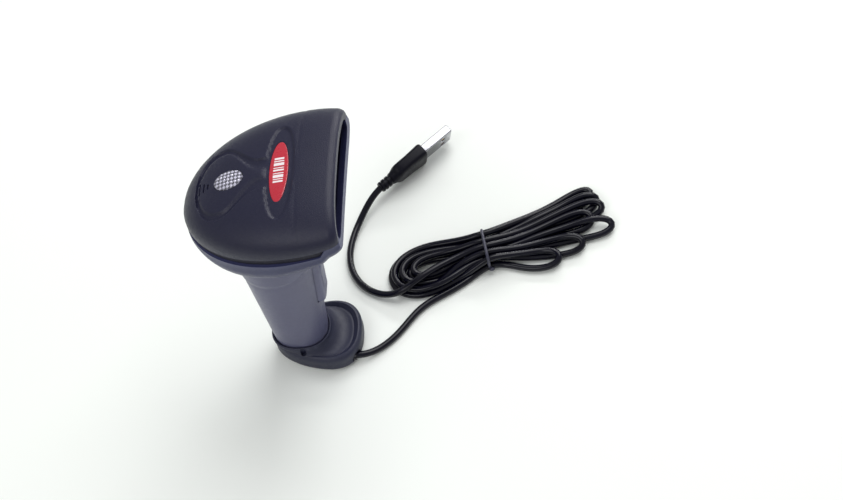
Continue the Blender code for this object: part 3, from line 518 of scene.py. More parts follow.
def tie_slots():
    """Where the fourteen strands lie in the tie: rows of five, four and five, as (across, height)."""
    radius = settings("cable").diameter / MM / 2
    slots = {}
    for row, (name, count) in enumerate((("low", 5), ("mid", 4), ("top", 5))):
        for i in range(count):
            across = (i - (count - 1) / 2) * SLOT_STEP
            slots[f"{name}{i + 1}"] = (across, TIE_BASE + radius + row * SLOT_STEP * ROW_SHARE)
    return slots


def far_loop(tie, legs, reach, lean):
    """One folded loop: out along a low strand, round its end and back along a higher one."""
    route = []
    for (across, level), side, height in zip(legs, (-1, 1), (2.2, 11.0)):
        leg = [from_hank(tie, across, level), from_hank(tie + 11, across * 1.15, level),
               from_hank(reach - 26, lean * 0.72 + side * 3.4, height * 0.8 + level * 0.2),
               from_hank(reach - 13, lean * 0.93 + side * 4.9, height),
               from_hank(reach - 4.6, lean + side * 4.6, height)]
        route += [*leg, from_hank(reach, lean, 6.6)] if side < 0 else leg[::-1]
    return route


def near_loop(tie, leave, arrive, start, wide, layer):
    """One broad loop: from the strand it leaves the tie by, round, to the strand it comes back by."""
    side = 1 if leave[0] > arrive[0] else -1
    out = [from_hank(tie - 11, leave[0] * 1.1, leave[1])]
    home = [from_hank(tie - 11, arrive[0] * 1.1, arrive[1])]
    for path, way in ((out, side), (home, -side)):
        path += [from_hank(tie - 24, way * wide * 0.94, layer + 1.0),
                 from_hank(start + wide * 1.15, way * wide, layer),
                 from_hank(start + wide * 0.3, way * wide * 0.72, layer)]
    return [*out, from_hank(start, 0.0, layer), *home[::-1]]


def folded_route():
    """The cable's whole route before it settles: lead, seven far loops with six near ones between, tail."""
    tie = settings("cable").tie_place * hank_length()
    slots = tie_slots()
    route = [*LEAD_ROUTE, from_hank(tie - 18, -13.0, 2.0), from_hank(tie - 9, -9.0, 2.6)]
    for i, (first, second) in enumerate(PAIRS):
        route += far_loop(tie, (slots[first], slots[second]), *FAR_LOOPS[i])
        if i < len(NEAR_LOOPS):
            route += near_loop(tie, slots[second], slots[PAIRS[i + 1][0]], *NEAR_LOOPS[i])
    route += [from_hank(tie - 12, -0.8, 11.6), from_hank(tie - 26, -3.6, 11.6),
              from_hank(tie - 38, -8.0, 9.0), from_hank(6.0, -11.2, 5.0)]
    return route + list(TAIL_ROUTE)


def even_points(knots, spacing):
    """Evenly spaced points along a Catmull-Rom curve through the knots."""
    knots = np.array(knots, float)
    knots = np.vstack([knots[0] * 2 - knots[1], knots, knots[-1] * 2 - knots[-2]])
    t = np.linspace(0, 1, 24, endpoint=False)[:, None]
    dense = []
    for a, b, c, d in zip(knots, knots[1:], knots[2:], knots[3:]):
        curved = (2 * a - 5 * b + 4 * c - d) * t ** 2 + (3 * b - a - 3 * c + d) * t ** 3
        dense.append(0.5 * (2 * b + (c - a) * t + curved))
    dense = np.vstack(dense + [knots[-2:-1]])
    along = np.concatenate([[0], np.cumsum(np.linalg.norm(np.diff(dense, axis=0), axis=1))])
    goals = np.linspace(0, along[-1], max(3, round(along[-1] / spacing) + 1))
    return np.stack([np.interp(goals, along, dense[:, axis]) for axis in range(3)], axis=1)


def settle(points, passes, diameter):
    """Pushes the strands apart, keeping them smooth, evenly spaced and held at both ends and in the tie."""
    radius, clear, count = diameter / 2, diameter * 1.03, len(points)
    rest = np.linalg.norm(np.diff(points, axis=0), axis=1).mean()
    near = int(diameter * 1.6 / rest) + 1
    first, second = np.triu_indices(count, near + 1)
    lead, tail = even_points(LEAD_ROUTE, rest), even_points(TAIL_ROUTE, rest)
    held = np.zeros(count, bool)
    held[:len(lead) - 2] = True
    held[count - len(tail) + 4:] = True
    start = points.copy()
    middle = np.array(from_hank(settings("cable").tie_place * hank_length(), 0, 0))
    along = np.array((HANK_RIGHT - HANK_LEFT).normalized())
    free = ~held
    in_tie = (np.abs((start[:, :2] - middle[:2]) @ along) < TIE_HOLD) & free
    for step in range(passes):
        ease = 0.5 if step < passes * 0.7 else 0.25
        rest = np.linalg.norm(np.diff(points, axis=0), axis=1).mean() * 0.998
        bend = np.zeros_like(points)
        bend[1:-1] = (points[2:] + points[:-2]) / 2 - points[1:-1]
        stiff = bend.copy()
        stiff[2:-2] -= (bend[3:-1] + bend[1:-3]) / 2
        points[free] += (stiff * 0.55 + bend * 0.06)[free]
        points[free, :2] += (start - points)[free, :2] * 0.035
        points[free, 2] -= 0.03
        for _ in range(2):
            for parity in (0, 1):
                a, b = points[parity:-1:2], points[parity + 1::2]
                size = min(len(a), len(b))
                gap = b[:size] - a[:size]
                far = np.linalg.norm(gap, axis=1, keepdims=True)
                move = gap * (1 - rest / np.maximum(far, 1e-6)) * 0.5
                share = free[parity:-1:2][:size, None] * 1.0, free[parity + 1::2][:size, None] * 1.0
                points[parity:-1:2][:size] += move * share[0]
                points[parity + 1::2][:size] -= move * share[1]
        gap = points[second] - points[first]
        close = np.einsum("ij,ij->i", gap, gap) < clear ** 2
        one, two, gap = first[close], second[close], gap[close]
        far = np.maximum(np.linalg.norm(gap, axis=1, keepdims=True), 1e-4)
        push = gap / far * (clear - far) * ease
        shift, hits = np.zeros_like(points), np.zeros(count)
        np.add.at(shift, one, -push)
        np.add.at(shift, two, push)
        np.add.at(hits, one, 1)
        np.add.at(hits, two, 1)
        points[free] += (shift / np.maximum(hits, 1)[:, None] * 1.3)[free]
        points[in_tie] += (start[in_tie] - points[in_tie]) * 0.35
        points[free, 2] = np.maximum(points[free, 2], radius)
    return points


def build_cable(material):
    """The whole cable as one open curve."""
    cable = settings("cable")
    diameter = cable.diameter / MM
    passes = cable.passes
    points = settle(even_points(folded_route(), diameter * 0.8), passes, diameter)
    for _ in range(SMOOTHING_PASSES):
        points[1:-1] += (points[2:] + points[:-2] - 2 * points[1:-1]) * 0.22
    points = even_points(points, diameter * 0.45)
    curve = bpy.data.curves.new("cable", "CURVE")
    curve.dimensions = "3D"
    curve.bevel_depth = cable.diameter / 2
    curve.bevel_resolution = 4
    curve.use_fill_caps = True
    spline = curve.splines.new("POLY")
    spline.points.add(len(points) - 1)
    for point, place in zip(spline.points, points):
        point.co = (*(place * MM), 1)
    spline.use_smooth = True
    obj = bpy.data.objects.new("cable", curve)
    bpy.context.scene.collection.objects.link(obj)
    curve.materials.append(material)
    total = np.linalg.norm(np.diff(points, axis=0), axis=1).sum() * MM
    return obj, total


def build_tie(material):
    """A thin band round the waist of the hank, with a small knotted nub."""
    cable = settings("cable")
    hank = HANK_RIGHT - HANK_LEFT
    place = Matrix.Translation(Vector(from_hank(cable.tie_place * hank_length(), 0, 0)) * MM)
    place = place @ Matrix.Rotation(math.atan2(hank.y, hank.x) - math.radians(4), 4, "Z")
    thick = cable.tie_thickness / MM / 2
    wide = 2 * SLOT_STEP + cable.diameter / MM / 2 + thick + 0.15
    low, high = thick + 0.1, TIE_BASE + cable.diameter / MM + 2 * SLOT_STEP * ROW_SHARE + thick + 0.25
    middle, half = (low + high) / 2, (high - low) / 2
    steps = 60

    def spot(angle, level):
        around = 2 * math.pi * level / steps
        y = wide * signed_power(math.cos(around), 0.62)
        z = half * signed_power(math.sin(around), 0.62)
        out = Vector((0, math.cos(around) / wide, math.sin(around) / half)).normalized()
        ring = Vector((math.sin(angle), 0, 0)) * thick + out * math.cos(angle) * thick
        return place @ ((Vector((0, y, middle + z)) + ring) * MM)

    bm = tube_mesh(12, steps + 1, spot)
    bmesh.ops.remove_doubles(bm, verts=bm.verts, dist=1e-6)
    nub = bmesh.new()
    bmesh.ops.create_uvsphere(nub, u_segments=20, v_segments=12, radius=1)
    bmesh.ops.scale(nub, verts=nub.verts, vec=(1.5 * MM, 1.1 * MM, 1.0 * MM))
    bmesh.ops.translate(nub, verts=nub.verts, vec=(0.9 * MM, -(wide + 0.9) * MM, 3.2 * MM))
    bmesh.ops.transform(nub, verts=nub.verts, matrix=place)
    tie = new_piece("cable_tie", bm, material)
    knot = new_piece("cable_tie_knot", nub, material)
    return tie, knot


class SCANNER_OT_cable(Operator):
    """Builds the cable with its folded hank, its tie and its plug"""
    bl_idname = "scanner.cable"
    bl_label = "Cable"

    def execute(self, context):
        jacket = finish("cable_jacket", settings("finish").cable, roughness=0.13, grain=0.03, edge_highlight=0.0,
                        spread=0.25, dust=0.0, specular=0.28, coat=0.08)
        cable, total = build_cable(jacket)
        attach(cable, "scanner")
        tie, knot = build_tie(finish("tie_plastic", (0.040, 0.040, 0.068), roughness=0.3, edge_highlight=0.2))
        plug = build_plug()
        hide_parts("cord_lead", "cord_hank", "cord_tail")
        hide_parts("cord_tie")
        settings("cable").diameter
        return {"FINISHED"}


# ---- plug --------------------------------------------------------------------------------------

# Where the moulded body ends and how much of the shell stands out of it, in millimetres.
BODY_END = 30.0
SHELL_LENGTH = 18.7


def plug_frame():
    """The plug's own frame: +X along its axis, away from the cable."""
    cable = settings("cable")
    turn = Matrix.Rotation(cable.plug_heading, 4, "Z") @ Matrix.Rotation(cable.plug_roll, 4, "X")
    return Matrix.Translation(PLUG_START * MM) @ turn


def plug_box(low, high, bevel, segments=3):
    """A rounded box in the plug's frame, between two corners in millimetres."""
    bm = box_body(Vector(low) * MM, Vector(high) * MM, bevel * MM, segments)
    bmesh.ops.transform(bm, verts=bm.verts, matrix=plug_frame())
    return bm


def build_plug():
    """The moulded body with its ribbed relief, the metal shell with its windows, tongue and contacts."""
    place = plug_frame()
    profile = [(0.2, 2.0, 2.0, 2.0), (0.2, 2.55, 2.55, 2.0), (0.7, 2.85, 2.8, 2.0)]
    for i in range(3):
        x = 1.5 + i * 2.4
        profile += [(x, 3.0 + i * 0.1, 2.9, 2.1), (x + 0.15, 2.45 + i * 0.1, 2.35, 2.1),
                    (x + 0.95, 2.5 + i * 0.1, 2.4, 2.1), (x + 1.1, 3.05 + i * 0.1, 2.95, 2.1)]
    profile += [(8.6, 3.5, 3.2, 2.2), (9.4, 3.75, 3.35, 2.3), (10.2, 4.6, 3.6, 2.5), (11.2, 5.8, 3.85, 3.0),
                (12.6, 6.5, 3.95, 3.6), (15.0, 6.9, 4.0, 4.0), (20.0, 7.45, 4.1, 4.2), (28.2, 7.9, 4.2, 4.4),
                (29.3, 7.85, 4.15, 4.4), (29.8, 7.6, 3.95, 4.4), (BODY_END, 7.2, 3.6, 4.4)]

    def skin(angle, level):
        x, half_y, half_z, power = profile[level]
        y = half_y * signed_power(math.cos(angle), 2 / power)
        z = half_z * signed_power(math.sin(angle), 2 / power)
        if 14.0 < x < 27.0:
            z *= 1 - 0.08 * smooth_step(14, 16, x) * (1 - smooth_step(25, 27, x))
        return place @ (Vector((x, y, z)) * MM)

    black = finish("plug_moulding", (0.004, 0.004, 0.009), roughness=0.36, grain=0.15, edge_highlight=0.06, dust=0.0,
                   specular=0.15)
    body = new_piece("plug_moulding", tube_mesh(72, len(profile), skin, cap_start=True, cap_end=True), black,
                     angle=40)
    seat = plug_box((BODY_END - 4.9, -6.25, -2.5), (BODY_END + 1, 6.25, 2.5), 0.5)
    cut(body, seat)
    grips = []
    for side in (-1, 1):
        for i in range(7):
            x = 16.6 + i * 1.5
            bm = plug_box((x, -4.6, side * 3.5 - 0.34), (x + 0.7, 4.6, side * 3.5 + 0.34), 0.3)
            name = f"plug_grip_{'under' if side < 0 else 'upper'}_{i + 1}"
            grips.append(new_piece(name, bm, black))
    steel = finish("plated_steel", (0.36, 0.36, 0.39), roughness=0.2, metallic=1.0, edge_highlight=0.1, spread=0.06,
                   grain=0.04, grain_scale=900.0, dust=0.0)
    end = BODY_END + SHELL_LENGTH
    blank = plug_box((BODY_END - 4.7, -6.0, -2.25), (end, 6.0, 2.25), 0.55, 4)
    shell = new_piece("plug_shell_detail", blank, steel)
    inside = plug_box((BODY_END - 3.9, -5.65, -1.9), (end + 1, 5.65, 1.9), 0.3)
    windows = [plug_box((BODY_END + 11.4, y - 1.1, z - 0.7), (BODY_END + 13.6, y + 1.1, z + 0.7), 0.2, 2)
               for y in (-2.9, 2.9) for z in (-2.1, 2.1)]
    join = plug_box((BODY_END + 0.6, -0.06, -3), (end + 1, 0.06, -1.5), 0.0)
    cut(shell, inside, *windows, join)
    nylon = finish("white_nylon", (0.70, 0.70, 0.67), roughness=0.4, edge_highlight=0.0)
    bm = plug_box((BODY_END - 3.6, -5.4, -1.5), (end - 1.2, 5.4, 0.3), 0.2, 2)
    tongue = new_piece("plug_tongue_detail", bm, nylon)
    gold = finish("gold_plating", (0.72, 0.46, 0.14), roughness=0.25, metallic=1.0, edge_highlight=0.0, dust=0.0)
    contacts = []
    for i, y in enumerate((-3.5, -1.0, 1.0, 3.5)):
        bm = plug_box((BODY_END + 6.6, y - 0.5, 0.25), (end - 2.4, y + 0.5, 0.55), 0.12, 2)
        contacts.append(new_piece(f"plug_contact_{i + 1}", bm, gold))
    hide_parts("plug_body")
    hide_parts("plug_shell")
    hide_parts("plug_tongue")
    return [body, *grips, shell, tongue, *contacts]


# ---- the head's shape --------------------------------------------------------------------------

# The powers that round the head: its plan, its top line, the cover's sections and the bowl's sections.
PLAN_POWERS = (2.12, 1.92)
TOP_POWERS = (1.89, 1.97)
COVER_SQUARENESS = (2.7, 2.65)
BOWL_SQUARENESS = 3.5
LIP_SQUARENESS = 3.3
# How deep the bowl is under the parting line: at the rear, half way and at the mouth.
BOWL_DEPTHS = (16.0 * MM, 23.0 * MM, 11.0 * MM)
# How far the housing's rear tip stands before the ledge's, and the fine line under the cover.
HOUSING_SETBACK = 0.9 * MM
SEAM_LINE = 0.35 * MM
# The oval recess round the badge and the faint crease behind it, in millimetres.
RECESS_X = 10.9
RECESS_HALF_WIDTH = 6.9
RECESS_HALF_LENGTH = 25.0
RECESS_POWER = 2.2
CREASE_X = 18.8
# The beeper's slots: where each lies along the head and how long it is, in millimetres.
BEEPER_SLOTS = ((-28.2, 6.6), (-26.0, 4.8), (-23.9, 3.0))

# A lobe of the relief, in millimetres: a rounded rear end behind its middle, and a waist before it.
Lobe = namedtuple("Lobe", "middle rear wide power neck taper fall start")
LEAF = Lobe(middle=-17.5, rear=12.9, wide=18.9, power=2.2, neck=8.0, taper=19.0, fall=1.0, start=-29.0)
SPINE = Lobe(middle=-16.0, rear=13.2, wide=16.4, power=2.4, neck=3.3, taper=19.0, fall=1.25, start=-28.0)
SPINE_RISE = 0.85


def half_width(x):
    head = settings("head")
    if x >= head.widest_x:
        t = (x - head.widest_x) / (head.front_x - head.widest_x)
        return head.half_width - (head.half_width - head.mouth_half_width) * t * t
    u = min(1.0, (head.widest_x - x) / (head.widest_x - head.rear_x))
    return head.half_width * max(0.0, 1 - u ** PLAN_POWERS[0]) ** (1 / PLAN_POWERS[1])


def along_head(x):
    head = settings("head")
    return min(1.08, max(0.0, (x - head.rear_x) / (head.front_x - head.rear_x)))


def parting_z(x):
    head = settings("head")
    return head.parting_rear_z + (head.parting_front_z - head.parting_rear_z) * along_head(x)


def top_z(x):
    head = settings("head")
    t = min(1.0, along_head(x))
    swell = (1 - (1 - t) ** TOP_POWERS[0]) ** (1 / TOP_POWERS[1])
    return head.parting_rear_z + (head.top_z - head.parting_rear_z) * swell


def bowl_depth(x):
    t = min(1.0, along_head(x))
    rear, middle, front = BOWL_DEPTHS
    depth = rear * (1 - t) * (1 - 2 * t) + middle * 4 * t * (1 - t) + front * t * (2 * t - 1)
    return depth * (1 - (1 - t) ** 6) ** 0.5


def bowl_squareness(x):
    head = settings("head")
    t = max(0.0, (x - head.widest_x * 0.4) / (head.front_x - head.widest_x * 0.4))
    return BOWL_SQUARENESS + (LIP_SQUARENESS - BOWL_SQUARENESS) * min(1.0, t)


def surface_z(x, y):
    """The height of the cover's outer surface over a place in plan, without its relief."""
    side = min(1.0, abs(y) / max(half_width(x), 1e-6)) ** COVER_SQUARENESS[0]
    return parting_z(x) + (top_z(x) - parting_z(x)) * (1 - side) ** (1 / COVER_SQUARENESS[1])


def cover_frame(x, sink=0.0):
    """A place on the cover's middle line, with +Z along the surface's normal."""
    step = 0.5 * MM
    rise = (surface_z(x + step, 0) - surface_z(x - step, 0)) / (2 * step)
    return Matrix.Translation((x, 0, surface_z(x, 0) - sink)) @ Matrix.Rotation(-math.atan(rise), 4, "Y")


def recess_reach(x, y):
    """How far a place lies inside the edge of the badge's recess, in millimetres."""
    across, along = abs(x - RECESS_X) / RECESS_HALF_WIDTH, y / RECESS_HALF_LENGTH
    total = max(0.05, across ** RECESS_POWER + along ** RECESS_POWER)
    steepest = math.hypot(across ** (RECESS_POWER - 1) / RECESS_HALF_WIDTH,
                          along ** (RECESS_POWER - 1) / RECESS_HALF_LENGTH)
    slope = total ** (1 / RECESS_POWER - 1) * steepest
    return (1 - total ** (1 / RECESS_POWER)) / max(slope, 1e-9)


def lobe_half_width(lobe, x):
    """Half the width of a lobe of the relief at a place along the head, in millimetres."""
    behind = lobe.middle - x
    if behind > 0:
        return lobe.wide * max(0.0, 1 - (behind / lobe.rear) ** lobe.power) ** 0.5
    swell = 0.5 + 0.5 * math.cos(math.pi * min(1.0, -behind / lobe.taper))
    return lobe.neck + (lobe.wide - lobe.neck) * swell ** lobe.fall


def lobe_reach(lobe, x, y):
    """How far a place lies inside the edge of a lobe, in millimetres."""
    rise = 0.0
    if lobe.start < x < 3:
        rise = (lobe_half_width(lobe, x + 0.3) - lobe_half_width(lobe, x - 0.3)) / 0.6
    return (lobe_half_width(lobe, x) - y) / math.sqrt(1 + rise * rise)


def relief_height(x, y):
    """How far the cover lies below its plain surface, as a share of the relief's depth."""
    x, y = x / MM, abs(y) / MM
    sunk = smooth_step(-1.0, 1.0, recess_reach(x, y))
    if -30.5 < x < 6:
        sunk = max(sunk, smooth_step(-0.5, 0.7, lobe_reach(LEAF, x, y)))
    if x >= 4.5:
        return sunk
    on_spine = smooth_step(-0.3, 1.8, lobe_reach(SPINE, x, y)) * (1 - smooth_step(1.0, 5.5, x))
    return sunk * (1 - SPINE_RISE * on_spine)


def crease(x, y):
    """A faint line across the cover behind the mouth, strongest at its sides."""
    return math.exp(-((x / MM - CREASE_X) / 0.55) ** 2) * (0.35 + 0.65 * smooth_step(12, 30, abs(y) / MM))


def rim_drop(x):
    """How far the bevelled rim lies below the plain surface: a crease, a slope and a rounded edge."""
    head = settings("head")
    t = (x - head.front_x + head.rim) / head.rim
    if t <= 0:
        return 0.0
    return head.rim * (0.26 * t + 0.32 * (1 - math.sqrt(max(0.0, 1 - min(t, 1.0) ** 4 * 0.98))))


def lining_inset(x, wall):
    """The wall's thickness, which grows to the rim's depth just behind the mouth."""
    head = settings("head")
    behind = (head.front_x - x) / MM
    return wall + (head.rim_depth - wall) * (1 - smooth_step(3.2, 4.4, behind))


def cover_point(u, v, inset=0.0):
    """The cover's outer surface: u runs from its rear to the mouth, v from its left edge over the top."""
    head = settings("head")
    rear = head.rear_x + 0.15 * MM + inset
    x = rear + (head.front_x - rear) * u ** 1.5
    shrink = lining_inset(x, inset) if inset else rim_drop(x)
    angle = math.pi * v
    wide = max(half_width(x) - shrink, 0.3 * MM)
    base = parting_z(x)
    tall = max(top_z(x) - base - shrink, 0.2 * MM)
    y = wide * signed_power(math.cos(angle), 2 / COVER_SQUARENESS[0])
    z = base + tall * math.sin(angle) ** (2 / COVER_SQUARENESS[1])
    if not inset:
        sunk = relief_height(x, y)
        z -= head.relief * sunk - head.ridge * 4 * sunk * max(0.0, 1 - sunk)
        z -= 0.22 * MM * crease(x, y) * min(1.0, math.sin(angle) * 4)
    reach = smooth_step(0.75, 1.0, u) * head.corner_reach * min(1.0, abs(y) / head.mouth_half_width) ** 3
    return Vector((x + reach, y, z))


class SCANNER_OT_top_cover(Operator):
    """Builds the top cover with its relief, rounded rim, badge recess, lens hole and beeper slots"""
    bl_idname = "scanner.top_cover"
    bl_label = "Top cover"

    def execute(self, context):
        head, trim = settings("head"), settings("trim")
        material = finish("cover_plastic", settings("finish").cover, roughness=0.42, grain=0.35, edge_highlight=0.35,
                          spread=0.08, dust=0.02, specular=0.35)
        bm = wall_mesh(150, 190, cover_point, lambda u, v: cover_point(u, v, head.wall))
        cover = new_piece("cover_shell", bm, material)
        slots = []
        half = trim.slot_width / 2
        for x, span in BEEPER_SLOTS:
            bm = box_body((-half, -span * MM / 2, -5 * MM), (half, span * MM / 2, 3 * MM), 0.4 * MM)
            bmesh.ops.transform(bm, verts=bm.verts, matrix=cover_frame(x * MM))
            slots.append(bm)
        gap = 0.3 * MM
        badge = oval_body(cover_frame(trim.badge_x), (trim.badge_width + gap, trim.badge_length + gap),
                          -1.7 * MM, 4 * MM)
        lens = oval_body(cover_frame(trim.lens_x), (trim.lens_length + gap, trim.lens_width + gap),
                         -6 * MM, 4 * MM)
        cut(cover, badge, lens, *slots)
        shade_by_angle(cover)
        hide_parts("top_cover")
        return {"FINISHED"}


def housing_point(u, v, inset=0.0):
    """The lower housing's outer surface: u runs from its rear to the lip, v from its right edge under it."""
    head = settings("head")
    rear = head.rear_x - head.ledge + HOUSING_SETBACK + inset
    x = rear + (head.front_x - rear) * u ** 1.5
    drop = SEAM_LINE + head.seam * (1 - smooth_step(head.seam_end_x - 4 * MM, head.seam_end_x, x))
    shrink = lining_inset(x, inset) if inset else 0.5 * rim_drop(x)
    base = parting_z(x) - drop
    deep = max(bowl_depth(x) - drop - shrink, 0.25 * MM)
    power = 2 / bowl_squareness(x)
    angle = math.pi * v
    roll = 0.0 if inset else 0.5 * MM * (1 - smooth_step(0.0, 0.05, min(v, 1 - v)))
    ledge = head.ledge * (1 - smooth_step(6 * MM, 26 * MM, x))
    y = -max(half_width(x) + ledge - shrink - roll, 0.3 * MM) * signed_power(math.cos(angle), power)
    z = base - deep * math.sin(angle) ** power
    ahead = max(0.0, (x - head.widest_x) / (head.front_x - head.widest_x))
    reach = smooth_step(0.75, 1.0, u) * head.corner_reach * min(1.0, abs(y) / head.mouth_half_width) ** 3
    return Vector((x + reach + ahead * head.lip * min(1.0, (parting_z(x) - z) / BOWL_DEPTHS[2]), y, z))


def screw_well(node):
    """The well that a cover screw's head sits in, open from below."""
    low, high = (Vector(corner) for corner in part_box(node))
    middle = (low + high) / 2
    place = Matrix.Translation((middle.x, middle.y, low.z))
    return oval_body(place, (2.7 * MM, 2.7 * MM), -14 * MM, 1.9 * MM, 32)


class SCANNER_OT_lower_housing(Operator):
    """Builds the lower housing with its screw wells, and the dark seal band, its near-black colour painted
    shade, in the shadow gap over it
    """
    bl_idname = "scanner.lower_housing"
    bl_label = "Lower housing"

    def execute(self, context):
        head = settings("head")
        material = finish("housing_plastic", settings("finish").housing, roughness=0.38, grain=0.25, edge_highlight=0.4,
                          spread=0.08, dust=0.02)
        bm = wall_mesh(130, 130, housing_point, lambda u, v: housing_point(u, v, head.wall))
        housing = new_piece("housing_shell", bm, material)
        levels = (95 * MM, 108 * MM, 126 * MM)
        hole = tube_mesh(96, len(levels), lambda angle, level: handle_point(angle, levels[level], 0.3 * MM),
                         cap_start=True, cap_end=True)
        wells = [screw_well(f"cover_screw_{side}_{end}") for side in ("left", "right")
                 for end in ("rear", "front")]
        cut(housing, hole, *wells)
        shade_by_angle(housing)

        def band_point(u, v):
            angle = math.pi * (u - 0.5)
            x = head.rear_x + 1.2 * MM + (head.seam_end_x - head.rear_x) * (1 - math.cos(angle) ** 0.8)
            y = math.copysign(half_width(x) - 1.3 * MM, math.sin(angle))
            return Vector((x, y, parting_z(x) + 1.0 * MM - (head.seam + 2.8 * MM) * v))

        # Partly a real seal and partly painted shade: the band is wider than the seal and near-black like the
        # shade in the gap.
        rubber = finish("seam_seal_shade", (0.010, 0.010, 0.022), roughness=0.75, grain=0.2, edge_highlight=0.0, dust=0.0)
        band = new_piece("seam_band", grid_mesh(220, 3, band_point), rubber)
        thicken(band, 0.9 * MM)
        shade_by_angle(band)
        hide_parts("lower_housing")
        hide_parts("head_seal")
        return {"FINISHED"}


def mouth_section(x, inset, angle):
    """A closed section through the cover and the housing together, seen along the head."""
    wide = half_width(x) - inset
    if math.sin(angle) >= 0:
        tall = top_z(x) - parting_z(x) - inset
        y = wide * signed_power(math.cos(angle), 2 / COVER_SQUARENESS[0])
        return Vector((x, y, parting_z(x) + tall * math.sin(angle) ** (2 / COVER_SQUARENESS[1])))
    power = 2 / bowl_squareness(x)
    y = wide * signed_power(math.cos(angle), power)
    return Vector((x, y, parting_z(x) - (bowl_depth(x) - inset) * (-math.sin(angle)) ** power))


class SCANNER_OT_mouth(Operator):
    """Builds the frame that lines the mouth"""
    bl_idname = "scanner.mouth"
    bl_label = "Mouth"

    def execute(self, context):
        profile = ((24.0, 2.9), (31.2, 2.9), (31.6, 3.1), (31.8, 3.5), (31.7, 4.3), (31.3, 4.7), (30.2, 4.8),
                   (29.9, 5.3), (28.0, 5.4), (27.7, 6.0), (27.3, 6.0), (27.3, 4.6), (24.0, 4.6), (24.0, 2.9))

        def spot(angle, level):
            x, inset = profile[level]
            return mouth_section(x * MM, inset * MM, angle)

        bm = tube_mesh(144, len(profile), spot)
        bmesh.ops.remove_doubles(bm, verts=bm.verts, dist=1e-6)
        material = finish("frame_plastic", (0.006, 0.006, 0.016), roughness=0.3, grain=0.1, edge_highlight=0.1,
                          dust=0.01)
        liner = new_piece("window_liner", bm, material, angle=40)
        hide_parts("window_frame")
        return {"FINISHED"}


# ---- badge and lens ----------------------------------------------------------------------------

# How far apart the lens's bumps stand.
LENS_PITCH = 1.85 * MM
# The badge's plain mark: where its first bar starts, then each bar's width and the gap after it, in
# millimetres.
MARK_START = -6.2
MARK_BARS = ((0.9, 0.6), (0.45, 0.6), (1.5, 0.6), (0.45, 1.0), (0.9, 0.6), (0.45, 1.0), (1.5, 0.6),
             (0.6, 0.6), (1.0, 0.0))
# How far the badge's face lies below the floor of its recess.
BADGE_SINK = 0.10 * MM


def lens_finish():
    """Clear acrylic whose bumps catch the light, with painted shade that darkens the hollows between them."""
    material = finish("lens_acrylic", settings("finish").lens, roughness=0.10, edge_highlight=0.0, spread=0.1, dust=0.0,
                      coat=1.0, specular=0.8)
    tree = material.node_tree
    shader = tree.nodes["Principled BSDF"]
    split = add_node(tree, "SeparateXYZ", add_node(tree, "TexCoord").outputs["Object"])
    turns = 2 * math.pi / LENS_PITCH
    waves = []
    for axis, middle in (("X", settings("trim").lens_x), ("Y", 0.0)):
        phase = add_node(tree, "Math", split.outputs[axis], turns, -middle * turns, operation="MULTIPLY_ADD")
        waves.append(add_node(tree, "Math", phase.outputs[0], operation="COSINE").outputs[0])
    both = add_node(tree, "Math", *waves, operation="ADD")
    share = add_node(tree, "MapRange", both.outputs[0], From_Min=-0.6, From_Max=1.9)
    # Painted shade: the hollows between the bumps are coloured dark, the crests keep the lens's colour.
    ramp = add_node(tree, "ValToRGB", share.outputs["Result"])
    hollow_shade, crest = ramp.color_ramp.elements
    hollow_shade.position, hollow_shade.color = 0.0, (0.085, 0.085, 0.11, 1)
    crest.position, crest.color = 0.62, (*settings("finish").lens, 1)
    feed(tree, ramp.outputs["Color"], shader.inputs["Base Color"])
    return material


def lens_wave(distance):
    """One run of the lens's bumps: 1 on a crest, 0 in a hollow."""
    return 0.5 + 0.5 * math.cos(2 * math.pi * distance / LENS_PITCH)


def badge_top(x, y):
    """The badge's slightly domed face, sunk with the relief round it."""
    trim = settings("trim")
    share = math.hypot((x - trim.badge_x) / trim.badge_width, y / trim.badge_length)
    return surface_z(x, y) - settings("head").relief - BADGE_SINK + 0.12 * MM * max(0.0, 1 - share * share)


def build_stripe(name, low_y, high_y, material):
    """One raised bar across the badge, between two places along it."""
    trim = settings("trim")
    reach = trim.badge_width * 0.56 * math.sqrt(1 - ((low_y + high_y) / 2 / trim.badge_length) ** 2)

    def place(u, v):
        x, y = trim.badge_x + reach * (2 * u - 1), low_y + (high_y - low_y) * v
        return Vector((x, y, badge_top(x, y) + 0.07 * MM))

    stripe = new_piece(name, grid_mesh(14, 5, place), material)
    thicken(stripe, 0.2 * MM)
    shade_by_angle(stripe)


